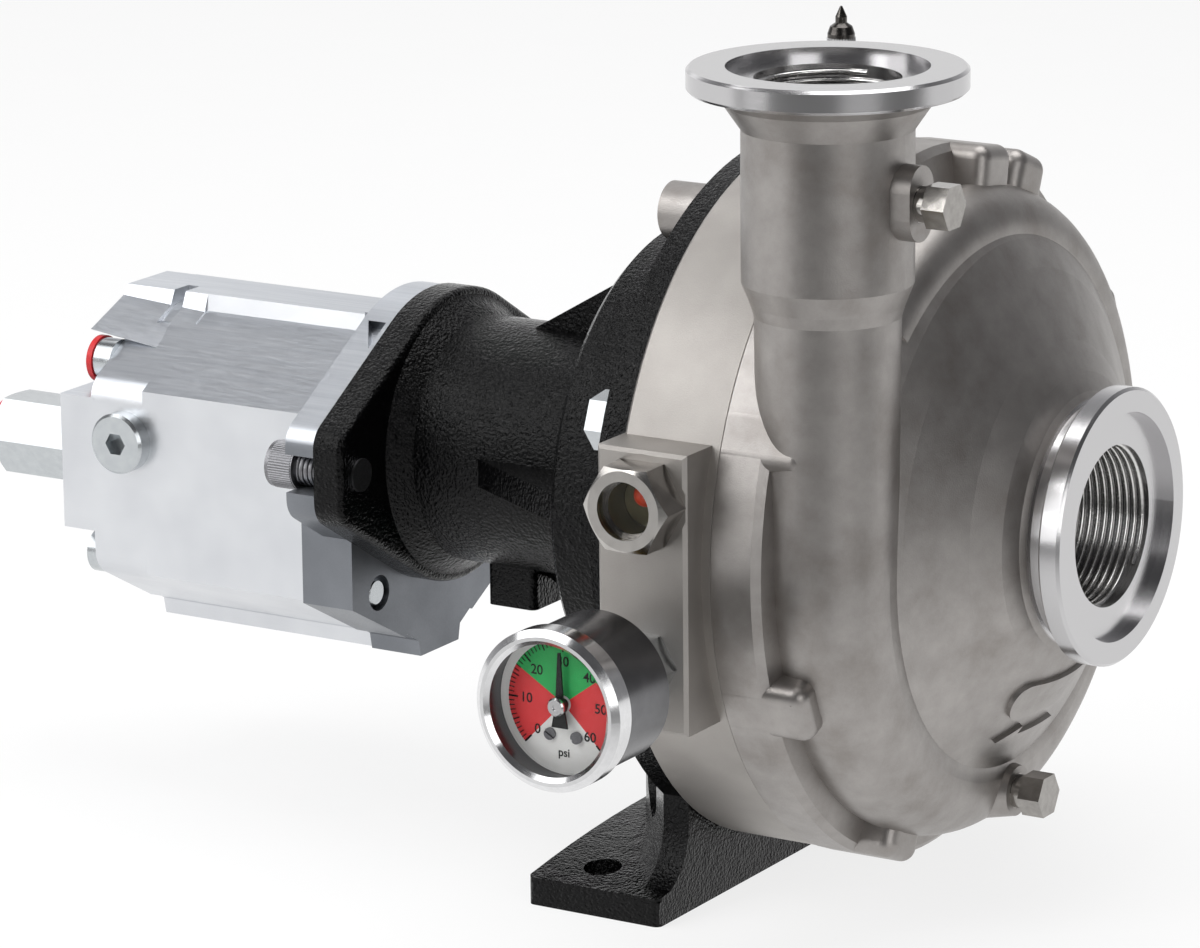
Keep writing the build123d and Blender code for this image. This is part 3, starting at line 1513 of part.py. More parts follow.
def dial_screws():
    """Two slotted screws that hold the dial."""
    top = dial_height()
    screws = []
    for side in (-1, 1):
        place = case_plane() * Pos(side * dial_screw_x, -dial_screw_drop, 0)
        screw = rod(dial_screw_radius, top, top + dial_screw_height, place)
        screw += rod(dial_screw_radius / 2, top - dial_thickness - 1.2, top, place)
        slot = place * Pos(0, 0, top + dial_screw_height) * Rot(0, 0, 30 * side) * Box(4, 0.5, 0.8)
        screws.append((screw - slot).solid())
    return Compound(children=screws)


def movement_plates():
    """Both brass plates of the gauge movement, with their pillars and the pillars of the dial."""
    top = dial_height() - dial_thickness
    plane = case_plane()
    back = gauge_stem_length
    front = back + plate_spacing
    outline = Pos(0, -2) * RectangleRounded(plate_width, plate_height, 2)
    body = plane * Pos(0, 0, back) * extrude(outline, plate_thickness)
    body += plane * Pos(0, 0, front) * extrude(outline, plate_thickness)
    for side in (-1, 1):
        body += rod(plate_pillar_radius, back, front, plane * Pos(side * plate_pillar_x, plate_pillar_y, 0))
        place = plane * Pos(side * dial_screw_x, -dial_screw_drop, 0)
        body += rod(dial_screw_radius, front, top, place)
        body -= rod(dial_screw_radius / 2 + 0.05, top - 1.3, top + 1, place)
    body -= rod(arbor_radius + running_clearance, back - 1, front + plate_thickness + 1, plane)
    return body + rod(arbor_radius, back, front, plane * Pos(0, sector_pivot(), 0))


def sector_pivot():
    """Height of the sector's pivot above the gauge's axis."""
    return -(pinion_radius + sector_radius + sector_mesh_gap)


def gauge_sector():
    """Sector that the bourdon tube swings and that turns the pinion, balanced by its tail."""
    start = gauge_stem_length + plate_thickness + 0.4
    plane = case_plane() * Pos(0, sector_pivot(), start)
    reach = 2 * sector_radius
    wedge = make_face(
        Polyline((0, 0), polar(reach, sector_sweep / 2), polar(reach, -sector_sweep / 2), close=True)
    )
    blade = plane * extrude(wedge & Circle(sector_radius), sector_thickness)
    tail = Rectangle(sector_tail_width, sector_tail_reach, align=(Align.CENTER, Align.MAX))
    blade += plane * extrude(tail, sector_thickness)
    blade += rod(arbor_radius + 1.2, 0, sector_thickness, plane)
    return blade - rod(arbor_radius + running_clearance, -1, sector_thickness + 1, plane)


def gauge_pointer():
    """Pointer on its arbor, with the pinion that the sector turns."""
    top = dial_height()
    base = gauge_stem_length
    plane = case_plane()
    half = pointer_width / 2
    tip = Polygon(
        (-0.35, pointer_length), (0.35, pointer_length), (half, 0), (pointer_width, -pointer_tail),
        (-pointer_width, -pointer_tail), (-half, 0), align=None,
    )
    lift = top + pointer_lift
    body = plane * Pos(0, 0, lift) * extrude(tip, pointer_thickness)
    body += rod(pointer_hub_radius, lift - 0.4, lift + pointer_thickness + 0.7, plane)
    body += rod(arbor_radius, base + 0.1, lift, plane)
    return body + rod(pinion_radius, base + plate_thickness + 0.3, base + plate_thickness + 2.6, plane)


def bourdon_tube():
    """C-shaped pressure tube round the movement, brazed into the socket."""
    height = gauge_stem_length - 2.5
    plane = case_plane() * Pos(0, 0, height)
    arc = CenterArc((0, 0), bourdon_radius, -90, bourdon_sweep)
    start = Plane(origin=arc @ 0, z_dir=arc % 0)
    tube = sweep(start * Circle(bourdon_tube_radius), path=arc)
    foot_link = Plane(origin=(0, 0, 0), x_dir=(1, 0, 0), z_dir=(0, -1, 0))
    reach = bourdon_radius
    link = foot_link * Pos(0, 0, gauge_stem_radius + 0.05) * Cylinder(
        bourdon_tube_radius * 0.8, reach - gauge_stem_radius, align=(Align.CENTER, Align.CENTER, Align.MIN)
    )
    return plane * (tube + link)


def fill_valve_body():
    """Fill valve of the barrier chamber, with a hex foot and a threaded stem."""
    plane = upright_plane(port_x, 0, shaft_height + housing_radius - spotface_depth)
    stem_top = valve_seat_top - valve_cap_tip - 3
    body = rod(valve_thread_radius, -valve_thread_depth + 0.5, 0, plane)
    body += prism(valve_hex_across, 0, valve_hex_length, plane)
    body += turned([(valve_hex_length, 0), (valve_hex_length, valve_stem_radius + 1.2),
                    (valve_collar_top, valve_stem_radius + 0.8), (valve_collar_top, valve_stem_radius),
                    (stem_top, valve_stem_radius), (stem_top, 0)],
                   plane)
    return body - rod(valve_bore_radius, -valve_thread_depth - 1, valve_seat_top + 1, plane)


def valve_pin():
    """Sprung pin of the fill valve."""
    plane = upright_plane(port_x, 0, shaft_height + housing_radius - spotface_depth)
    top = valve_seat_top - valve_cap_tip - 3 - valve_pin_recess
    return rod(valve_pin_radius, top - valve_pin_length, top, plane)


def valve_cap():
    """Screw cap with a pointed tip over the fill valve."""
    plane = upright_plane(port_x, 0, shaft_height + housing_radius - spotface_depth)
    top = valve_seat_top - valve_cap_tip
    start = top - valve_cap_length
    cap = turned(
        [
            (start, 0), (start, valve_cap_radius - 0.4), (start + 0.6, valve_cap_radius),
            (top - 3, valve_cap_radius), (top - 1, valve_cap_radius - 0.7),
            (top, valve_cap_tip_radius), (top + 1.6, valve_cap_tip_radius),
            (top + valve_cap_tip, 0.3), (top + valve_cap_tip, 0),
        ],
        plane,
    )
    return cap - rod(valve_stem_radius + 0.1, start - 1, top - 2.6, plane)


PARTS = {
    "mounting_frame": mounting_frame,
    "seal_housing": seal_housing,
    "volute_casing": volute_casing,
    "casing_oring": casing_oring,
    "casing_bolts": casing_bolts,
    "rim_cap_screw": rim_cap_screw,
    "drain_plug": drain_plug,
    "vent_plug": vent_plug,
    "impeller": impeller,
    "impeller_key": impeller_key,
    "impeller_washer": impeller_washer,
    "impeller_bolt": impeller_bolt,
    "pump_shaft": pump_shaft,
    "coupling_key": coupling_key,
    "bearing_outer_rings": lambda: bearing_rings(False),
    "bearing_inner_rings": lambda: bearing_rings(True),
    "front_ball_set": lambda: ball_set(front_bearing_x),
    "rear_ball_set": lambda: ball_set(rear_bearing_x),
    "frame_snap_rings": frame_snap_rings,
    "shaft_snap_ring": shaft_snap_ring,
    "seal_seats": seal_seats,
    "seat_cups": seat_cups,
    "seal_heads": seal_heads,
    "seal_spring": seal_spring,
    "motor_front_cover": motor_front_cover,
    "motor_gear_housing": motor_gear_housing,
    "motor_rear_cover": motor_rear_cover,
    "motor_bushings": motor_bushings,
    "motor_shaft_seal": motor_shaft_seal,
    "motor_tie_bolts": motor_tie_bolts,
    "front_cover_screws": front_cover_screws,
    "motor_mount_screws": motor_mount_screws,
    "drive_gear": drive_gear,
    "idler_gear": idler_gear,
    "port_plug": port_plug,
    "port_adapter": port_adapter,
    "return_fitting": return_fitting,
    "adapter_plug": adapter_plug,
    "dust_cap": dust_cap,
    "sight_glass_body": sight_glass_body,
    "sight_glass_lens": sight_glass_lens,
    "level_ball": level_ball,
    "gauge_adapter": gauge_adapter,
    "gauge_socket": gauge_socket,
    "gauge_case": gauge_case,
    "gauge_bezel": gauge_bezel,
    "gauge_lens": gauge_lens,
    "gauge_dial": gauge_dial,
    "dial_screws": dial_screws,
    "movement_plates": movement_plates,
    "gauge_sector": gauge_sector,
    "gauge_pointer": gauge_pointer,
    "bourdon_tube": bourdon_tube,
    "fill_valve_body": fill_valve_body,
    "valve_pin": valve_pin,
    "valve_cap": valve_cap,
}

os.makedirs("parts", exist_ok=True)
for name, make in PARTS.items():
    export_step(make(), f"parts/{name}.step")
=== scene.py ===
"""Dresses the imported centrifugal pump: finishes, threads, knurls, gauge dial and a plain studio."""

import json
import math

import bmesh
import bpy
from bpy.props import FloatProperty, FloatVectorProperty, IntProperty, PointerProperty
from mathutils import Matrix, Vector


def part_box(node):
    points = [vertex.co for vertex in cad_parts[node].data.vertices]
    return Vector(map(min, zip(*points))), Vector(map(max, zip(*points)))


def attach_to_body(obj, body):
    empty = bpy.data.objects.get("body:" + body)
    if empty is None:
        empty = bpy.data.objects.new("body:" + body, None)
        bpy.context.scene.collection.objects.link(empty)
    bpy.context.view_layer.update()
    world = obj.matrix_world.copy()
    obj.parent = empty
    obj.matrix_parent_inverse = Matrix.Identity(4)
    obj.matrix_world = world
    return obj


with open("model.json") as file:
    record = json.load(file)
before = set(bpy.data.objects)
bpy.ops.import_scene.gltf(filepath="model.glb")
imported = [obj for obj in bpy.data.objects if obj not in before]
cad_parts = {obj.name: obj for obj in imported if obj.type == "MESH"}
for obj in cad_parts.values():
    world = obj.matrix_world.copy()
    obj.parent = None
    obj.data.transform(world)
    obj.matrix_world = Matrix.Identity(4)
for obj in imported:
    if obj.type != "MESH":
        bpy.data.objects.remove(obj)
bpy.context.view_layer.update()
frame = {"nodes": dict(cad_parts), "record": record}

bl_info = {
    "name": "Centrifugal Pump Dressing",
    "version": (1, 0, 0),
    "blender": (4, 5, 0),
    "location": "View3D > Sidebar > Pump",
    "description": "Finishes, threads, knurls, dial and studio for a footed centrifugal pump",
    "category": "Object",
}

MM = 0.001
BODY = "pump_body"
# Width of the photograph in pixels, and of the camera's sensor in millimetres
IMAGE_WIDTH = 1200
SENSOR_WIDTH = 36.0

# Sockets of Blender's Mix node
MIX_FACTOR = 0
MIX_FIRST_VALUE = 2
MIX_SECOND_VALUE = 3
MIX_FIRST_COLOUR = 6
MIX_SECOND_COLOUR = 7
MIX_VALUE_RESULT = 0
MIX_COLOUR_RESULT = 2


def box_of(node):
    """Lowest corner, highest corner and centre of a CAD node at rest."""
    low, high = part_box(node)
    return low, high, (low + high) / 2


SHAFT_HEIGHT = box_of("pump_shaft")[2].z
SUCTION_FACE = box_of("volute_casing")[1].x
DISCHARGE_TOP = box_of("volute_casing")[1].z
MOUNTS = {mount["name"]: mount for mount in frame["record"]["mounts"]}
NECK = Vector(MOUNTS["discharge_thread"]["pos_m"])
GAUGE = box_of("gauge_dial")[2]
DIAL_FACE = box_of("gauge_dial")[0].y

# Turned parts of the casting, from each flange's face: depth of the disc, radius and depth of the bore
SUCTION_TURNING = (11.4 * MM, 22.75 * MM, 28.5 * MM)
DISCHARGE_TURNING = (6.4 * MM, 19.75 * MM, 25.5 * MM)
TURNING_MARK_MM = 0.35

# How far marks and numbers stand off the dial, in thicknesses of its ink
PRINT_LIFT = 1.5


def linear(code):
    """Linear colour of an sRGB hex value."""
    parts = [int(code[i:i + 2], 16) / 255 for i in (1, 3, 5)]
    return tuple(p / 12.92 if p <= 0.04045 else ((p + 0.055) / 1.055) ** 2.4 for p in parts) + (1.0,)


def per_metre(size_mm):
    """Texture scale on Object coordinates for a pattern of that size."""
    return 1 / (size_mm * MM)


def add(tree, kind, values=None, links=None, **settings):
    """Adds a node with its settings, plain input values and links."""
    node = tree.nodes.new(kind)
    for key, value in settings.items():
        setattr(node, key, value)
    for key, value in (values or {}).items():
        node.inputs[key].default_value = value
    for key, source in (links or {}).items():
        tree.links.new(source, node.inputs[key])
    return node


def start_finish(name, **sockets):
    """New material with its shader's own sockets set, its tree and the Object coordinates."""
    material = bpy.data.materials.new(name)
    material.use_nodes = True
    tree = material.node_tree
    shader = tree.nodes["Principled BSDF"]
    for key, value in sockets.items():
        shader.inputs[key.replace("_", " ")].default_value = value
    place = add(tree, "ShaderNodeTexCoord").outputs["Object"]
    return material, tree, shader, place


def noise(tree, place, size_mm, detail=3.0, roughness=0.5, stretch=None):
    """Noise of a real size, stretched along an axis where a stretch is given."""
    if stretch:
        place = add(tree, "ShaderNodeMapping", {"Scale": stretch}, {"Vector": place}).outputs["Vector"]
    values = {"Scale": per_metre(size_mm), "Detail": detail, "Roughness": roughness}
    return add(tree, "ShaderNodeTexNoise", values, {"Vector": place}).outputs["Fac"]


def ramp(tree, source, stops):
    """Colour ramp from (position, hex) stops."""
    node = add(tree, "ShaderNodeValToRGB", links={"Fac": source})
    elements = node.color_ramp.elements
    while len(elements) < len(stops):
        elements.new(0.5)
    for element, (position, code) in zip(elements, stops):
        element.position = position
        element.color = linear(code)
    return node.outputs["Color"]


def span(tree, source, low, high, to_low=0.0, to_high=1.0):
    """Maps a value from one range to another, held at its ends."""
    values = {"From Min": low, "From Max": high, "To Min": to_low, "To Max": to_high}
    return add(tree, "ShaderNodeMapRange", values, {"Value": source}).outputs["Result"]


def maths(tree, operation, first, second=None):
    """One arithmetic step on sockets or plain numbers."""
    node = add(tree, "ShaderNodeMath", operation=operation)
    for index, value in enumerate((first, second)):
        if isinstance(value, (int, float)):
            node.inputs[index].default_value = value
        elif value is not None:
            tree.links.new(value, node.inputs[index])
    return node.outputs["Value"]


def bump(tree, shader, heights):
    """Chains bumps from (height, distance in mm, strength) onto the shader's normal."""
    normal = None
    for height, distance, strength in heights:
        links = {"Height": height}
        if normal:
            links["Normal"] = normal
        values = {"Distance": distance * MM, "Strength": strength}
        normal = add(tree, "ShaderNodeBump", values, links).outputs["Normal"]
    tree.links.new(normal, shader.inputs["Normal"])


def seen_rays(tree):
    """Light path outputs, and a mask of the camera's, mirrored and transmitted rays."""
    rays = add(tree, "ShaderNodeLightPath").outputs
    seen = maths(tree, "MAXIMUM", rays["Is Camera Ray"], rays["Is Glossy Ray"])
    return rays, maths(tree, "MAXIMUM", seen, rays["Is Transmission Ray"])


def axis_distance(tree, place, centre, drop):
    """Distance from an axis through centre, along the axis named by drop."""
    offset = add(tree, "ShaderNodeVectorMath", {1: tuple(-c for c in centre)}, {0: place}, operation="ADD")
    keep = {"x": (0, 1, 1), "y": (1, 0, 1), "z": (1, 1, 0)}[drop]
    flat = add(tree, "ShaderNodeVectorMath", {1: keep}, {0: offset.outputs["Vector"]}, operation="MULTIPLY")
    length = add(tree, "ShaderNodeVectorMath", links={0: flat.outputs["Vector"]}, operation="LENGTH")
    return length.outputs["Value"]


def turned_mask(tree, along, radius, face, turning):
    """Mask of a flange's turned disc and of the bore behind it."""
    disc_depth, bore_radius, bore_depth = turning
    disc_blend = 0.2 * MM
    wall_blend = 0.15 * MM
    depth_blend = 0.5 * MM
    disc = span(tree, along, face - disc_depth - disc_blend, face - disc_depth + disc_blend)
    bored = span(tree, radius, bore_radius + wall_blend, bore_radius - wall_blend)
    deep = span(tree, along, face - bore_depth - depth_blend, face - bore_depth + depth_blend)
    return maths(tree, "MAXIMUM", disc, maths(tree, "MULTIPLY", bored, deep))


def turning_marks(tree, radius, mask):
    """Fine rings that the lathe left, kept to a mask."""
    values = {"Scale": per_metre(TURNING_MARK_MM), "Detail": 2.0}
    rings = add(tree, "ShaderNodeTexNoise", values, {"W": radius}, noise_dimensions="1D")
    return maths(tree, "MULTIPLY", rings.outputs["Fac"], mask)


def cast_iron_enamel():
    """Gloss black enamel sprayed over raw grey iron: the sand grain stays and glitters in the light."""
    material, tree, shader, place = start_finish("black_enamel_on_sand_cast_iron", Specular_IOR_Level=0.16)
    grit = noise(tree, place, size_mm=0.95, detail=2.0)
    swell = noise(tree, place, size_mm=5.0, detail=2.0)
    tree.links.new(ramp(tree, grit, [(0.3, "#020202"), (0.75, "#080809")]), shader.inputs["Base Color"])
    tree.links.new(span(tree, grit, 0.35, 0.7, 0.09, 0.18), shader.inputs["Roughness"])
    bump(tree, shader, [(swell, 1.0, 0.4), (grit, 0.6, 0.9)])
    return material


def cast_stainless():
    """Investment-cast stainless, bead blasted: a dull brown-grey skin, and bright turned flanges."""
    material, tree, shader, place = start_finish("blasted_investment_cast_stainless", Metallic=1.0)
    parts = add(tree, "ShaderNodeSeparateXYZ", links={"Vector": place}).outputs
    suction_radius = axis_distance(tree, place, (0, 0, SHAFT_HEIGHT), "x")
    discharge_radius = axis_distance(tree, place, tuple(NECK), "z")
    suction_cut = turned_mask(tree, parts["X"], suction_radius, SUCTION_FACE, SUCTION_TURNING)
    discharge_cut = turned_mask(tree, parts["Z"], discharge_radius, DISCHARGE_TOP, DISCHARGE_TURNING)
    cut = maths(tree, "MAXIMUM", suction_cut, discharge_cut)
    grain = noise(tree, place, size_mm=0.45, detail=3.0, roughness=0.6)
    stain = noise(tree, place, size_mm=15.0, detail=5.0, roughness=0.6)
    skin = ramp(tree, stain, [(0.3, "#938e8a"), (0.5, "#a19d9a"), (0.7, "#ada9a6")])
    colour = add(tree, "ShaderNodeMix", {MIX_SECOND_COLOUR: linear("#c6c5c6")},
                 {MIX_FACTOR: cut, MIX_FIRST_COLOUR: skin}, data_type="RGBA")
    tree.links.new(colour.outputs[MIX_COLOUR_RESULT], shader.inputs["Base Color"])
    rough_skin = span(tree, grain, 0.3, 0.7, 0.37, 0.48)
    rough = add(tree, "ShaderNodeMix", {MIX_SECOND_VALUE: 0.2},
                {MIX_FACTOR: cut, MIX_FIRST_VALUE: rough_skin}, data_type="FLOAT")
    tree.links.new(rough.outputs[MIX_VALUE_RESULT], shader.inputs["Roughness"])
    turned = maths(tree, "ADD", turning_marks(tree, suction_radius, suction_cut),
                   turning_marks(tree, discharge_radius, discharge_cut))
    blasted = maths(tree, "MULTIPLY", grain, maths(tree, "SUBTRACT", 1.0, cut))
    bump(tree, shader, [(stain, 0.5, 0.1), (blasted, 0.1, 0.4), (turned, 0.05, 0.35)])
    return material


def blasted_stainless():
    """Machined stainless plate, glass-bead blasted to a pale even satin."""
    material, tree, shader, place = start_finish("bead_blasted_stainless", Metallic=1.0)
    grain = noise(tree, place, size_mm=0.35, detail=3.0, roughness=0.6)
    cloud = noise(tree, place, size_mm=18.0, detail=2.0)
    tree.links.new(ramp(tree, cloud, [(0.3, "#a39f9b"), (0.7, "#afaba7")]), shader.inputs["Base Color"])
    tree.links.new(span(tree, grain, 0.3, 0.7, 0.46, 0.56), shader.inputs["Roughness"])
    bump(tree, shader, [(grain, 0.1, 0.5)])
    return material


def steel(name, dark, light, rough, grain_mm, depth_mm):
    """Bare or plated steel: a metal between two tones, and between two roughnesses, with a fine grain."""
    material, tree, shader, place = start_finish(name, Metallic=1.0)
    grain = noise(tree, place, grain_mm, detail=3.0, roughness=0.55)
    tree.links.new(ramp(tree, grain, [(0.3, dark), (0.7, light)]), shader.inputs["Base Color"])
    tree.links.new(span(tree, grain, 0.3, 0.7, *rough), shader.inputs["Roughness"])
    bump(tree, shader, [(grain, depth_mm, 0.4)])
    return material


def aluminium(name, dark, light, rough, scratch_mm, stretch=None):
    """Aluminium with the fine parallel marks of its die or cutter, and a drawn skin on what faces up whose
    pale tone is partly painted light, a lit top over painted shade where the other faces are darker.
    """
    material, tree, shader, place = start_finish(name, Metallic=1.0)
    marks = noise(tree, place, scratch_mm, detail=4.0, roughness=0.7, stretch=stretch)
    cloud = noise(tree, place, size_mm=22.0, detail=2.0)
    normal = add(tree, "ShaderNodeTexCoord").outputs["Normal"]
    facing_up = add(tree, "ShaderNodeSeparateXYZ", links={"Vector": normal}).outputs["Z"]
    streaks = noise(tree, place, size_mm=1.2, detail=4.0, roughness=0.6, stretch=(0.03, 1.0, 1.0))
    # Faces that point up take the pale drawn tone and the rest the plain tones; where the plain tones are
    # darker, as on the die-cast cover, they are partly painted shade and the pale top a painted lit side
    plain = ramp(tree, cloud, [(0.3, dark), (0.7, light)])
    drawn_and_lit_top = ramp(tree, streaks, [(0.3, "#c6cad0"), (0.7, "#d6d9de")])
    colour = add(tree, "ShaderNodeMix", data_type="RGBA", links={
        MIX_FACTOR: span(tree, facing_up, 0.2, 0.4), MIX_FIRST_COLOUR: plain, MIX_SECOND_COLOUR: drawn_and_lit_top})
    tree.links.new(colour.outputs[MIX_COLOUR_RESULT], shader.inputs["Base Color"])
    tree.links.new(span(tree, marks, 0.3, 0.7, rough - 0.06, rough + 0.08), shader.inputs["Roughness"])
    bump(tree, shader, [(marks, 0.05, 0.35)])
    return material


def moulded(name, dark, light, rough, grain_mm, depth_mm):
    """Moulded or painted surface without metal: two close tones and a faint texture."""
    material, tree, shader, place = start_finish(name)
    grain = noise(tree, place, grain_mm, detail=2.0)
    tree.links.new(ramp(tree, grain, [(0.3, dark), (0.7, light)]), shader.inputs["Base Color"])
    tree.links.new(span(tree, grain, 0.3, 0.7, rough - 0.04, rough + 0.05), shader.inputs["Roughness"])
    bump(tree, shader, [(grain, depth_mm, 0.3)])
    return material


def printed(name, dark, light, rough=0.45):
    """Thin even coat of ink or lacquer on the gauge's dial."""
    return moulded(name, dark, light, rough, grain_mm=2.0, depth_mm=0.02)


def clear_window(name, alpha, ior):
    """Thin clear disc, mostly seen through: a sheen with a faint unevenness in its polish."""
    material, tree, shader, place = start_finish(name, Alpha=alpha, IOR=ior, Base_Color=linear("#0a0b0b"))
    haze = noise(tree, place, size_mm=3.0, detail=2.0)
    tree.links.new(span(tree, haze, 0.3, 0.7, 0.02, 0.05), shader.inputs["Roughness"])
    return material


# Makers of the finishes, by material slot and then by the names that only this script uses
MAKERS = {
    "frame_paint": cast_iron_enamel,
    "cast_stainless": cast_stainless,
    "blasted_stainless": blasted_stainless,
    "stainless_impeller": lambda: steel(
        "cast_stainless_wheel", "#8d8984", "#a6a29e", rough=(0.38, 0.5), grain_mm=0.5, depth_mm=0.08),
    "plated_steel": lambda: steel(
        "bright_zinc_plate", "#bcc0c3", "#c6cacc", rough=(0.2, 0.27), grain_mm=2.5, depth_mm=0.01),
    "alloy_steel": lambda: steel(
        "ground_alloy_steel", "#77777a", "#919194", rough=(0.3, 0.42), grain_mm=0.5, depth_mm=0.03),
    "bearing_steel": lambda: steel(
        "lapped_bearing_steel", "#b9babd", "#cbcccf", rough=(0.12, 0.2), grain_mm=0.5, depth_mm=0.01),
    "brass": lambda: steel(
        "machined_brass", "#a98a4a", "#c6a864", rough=(0.26, 0.38), grain_mm=0.5, depth_mm=0.03),
    "polished_steel": lambda: steel(
        "polished_stainless", "#dededf", "#e6e6e7", rough=(0.14, 0.18), grain_mm=1.6, depth_mm=0.002),
    "motor_aluminium": lambda: aluminium(
        "milled_aluminium", "#d3d5d9", "#dfe1e4", rough=0.34, scratch_mm=0.4, stretch=(0.05, 1.0, 1.0)),
    # The die-cast cover's dark tones are partly its duller cast skin and partly painted shade of its lower
    # and front faces
    "cover_aluminium": lambda: aluminium(
        "die_cast_aluminium_and_painted_shade", "#76797e", "#878a8f", rough=0.4, scratch_mm=0.6),
    "bushing_aluminium": lambda: aluminium(
        "turned_bearing_alloy", "#a9a9ac", "#bcbcbf", rough=0.3, scratch_mm=0.4, stretch=(0.1, 1.0, 1.0)),
    "seal_rubber": lambda: moulded(
        "nitrile_rubber", "#0d0d0d", "#181818", rough=0.6, grain_mm=0.8, depth_mm=0.05),
    "seat_ceramic": lambda: moulded(
        "lapped_silicon_carbide", "#26272a", "#303236", rough=0.18, grain_mm=0.6, depth_mm=0.01),
    "red_plastic": lambda: moulded(
        "red_polyethylene", "#b3141b", "#c91f24", rough=0.38, grain_mm=1.5, depth_mm=0.05),
    "red_float": lambda: moulded(
        "red_float_plastic", "#ff4a26", "#ff6236", rough=0.3, grain_mm=1.5, depth_mm=0.03),
    "gauge_glass": lambda: clear_window("clear_acrylic_window", alpha=0.1, ior=1.49),
    "sight_lens": lambda: clear_window("sight_glass_borosilicate", alpha=0.18, ior=1.47),
    "dial_white": lambda: printed("white_dial_enamel", "#fafaf7", "#fdfdfb"),
    "pointer_black": lambda: printed("black_pointer_lacquer", "#0b0b0b", "#141414", rough=0.4),
    "dial_green": lambda: printed("green_dial_ink", "#28b85c", "#30c466"),
    "dial_red": lambda: printed("red_dial_ink", "#f0383c", "#f64447"),
    "plug_stainless": lambda: steel(
        "forged_stainless_plug", "#96938f", "#a8a5a1", rough=(0.15, 0.22), grain_mm=2.5, depth_mm=0.01),
    "black_nickel": lambda: steel(
        "black_nickel_plate", "#4b4947", "#5d5a57", rough=(0.18, 0.26), grain_mm=0.8, depth_mm=0.02),
    "case_stainless": lambda: steel(
        "satin_stainless_case", "#717173", "#7a7a7c", rough=(0.25, 0.27), grain_mm=5.0, depth_mm=0.001),
    "turned_stainless": lambda: steel(
        "turned_stainless", "#b0ada9", "#bbb8b4", rough=(0.2, 0.24), grain_mm=4.0, depth_mm=0.001),
    "cut_thread": lambda: steel(
        "fresh_cut_stainless", "#c9c8c6", "#dcdbd9", rough=(0.16, 0.28), grain_mm=0.8, depth_mm=0.02),
    "barrier_oil": lambda: moulded(
        "dark_barrier_oil", "#8b8767", "#aea984", rough=0.15, grain_mm=6.0, depth_mm=0.02),
}

# Nodes whose own finish differs from that of their slot
NODE_FINISHES = {
    "drain_plug": "plug_stainless",
    "vent_plug": "plug_stainless",
    "valve_cap": "black_nickel",
    "gauge_case": "case_stainless",
    "sight_glass_body": "turned_stainless",
    "dial_screws": "alloy_steel",
}
FINISHES = {}


def finish(name):
    """Finish by its name, made on first use."""
    if name not in FINISHES:
        FINISHES[name] = MAKERS[name]()
    return FINISHES[name]


def new_tree(name, sockets):
    """Geometry Nodes tree with named inputs; returns the tree, its inputs and its output node."""
    tree = bpy.data.node_groups.new(name, "GeometryNodeTree")
    tree.interface.new_socket("Geometry", in_out="OUTPUT", socket_type="NodeSocketGeometry")
    for label, kind in sockets:
        tree.interface.new_socket(label, in_out="INPUT", socket_type="NodeSocket" + kind)
    inputs = tree.nodes.new("NodeGroupInput").outputs
    return tree, inputs, tree.nodes.new("NodeGroupOutput")


def close_tree(tree, inputs, output, geometry):
    """Ends a tree in Realize Instances and Set Material."""
    real = add(tree, "GeometryNodeRealizeInstances", links={"Geometry": geometry})
    coated = add(tree, "GeometryNodeSetMaterial",
                 links={"Geometry": real.outputs["Geometry"], "Material": inputs["Material"]})
    tree.links.new(coated.outputs["Geometry"], output.inputs["Geometry"])


def grown(name, tree, values, matrix):
    """Plain mesh object made by a tree with the given input values, put in place by matrix."""
    carrier = bpy.data.objects.new(name + "_carrier", bpy.data.meshes.new(name + "_seed"))
    bpy.context.scene.collection.objects.link(carrier)
    modifier = carrier.modifiers.new("nodes", "NODES")
    modifier.node_group = tree
    for item in tree.interface.items_tree:
        if item.in_out == "INPUT" and item.name in values:
            modifier[item.identifier] = values[item.name]
    graph = bpy.context.evaluated_depsgraph_get()
    mesh = bpy.data.meshes.new_from_object(carrier.evaluated_get(graph))
    carrier.modifiers.clear()
    bpy.data.objects.remove(carrier)
    mesh.name = name
    return placed(name, mesh, matrix)


def placed(name, mesh, matrix):
    """Object at the origin whose place is in its mesh."""
    mesh.transform(matrix)
    piece = bpy.data.objects.new(name, mesh)
    bpy.context.scene.collection.objects.link(piece)
    return piece


def attach(piece, body):
    """Piece rides on a body."""
    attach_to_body(piece, body)


def smooth(piece, angle=35.0):
    """Smooth shading with sharp edges past an angle."""
    for face in piece.data.polygons:
        face.use_smooth = True
    piece.data.set_sharp_from_angle(angle=math.radians(angle))
    return piece


def facing(origin, outward, up=(0, 0, 1)):
    """Matrix that lays local Z along outward at origin, with local Y as near up as it can be."""
    z = Vector(outward).normalized()
    x = Vector(up).cross(z).normalized()
    y = z.cross(x)
    matrix = Matrix((x, y, z)).transposed().to_4x4()
    matrix.translation = Vector(origin)
    return matrix


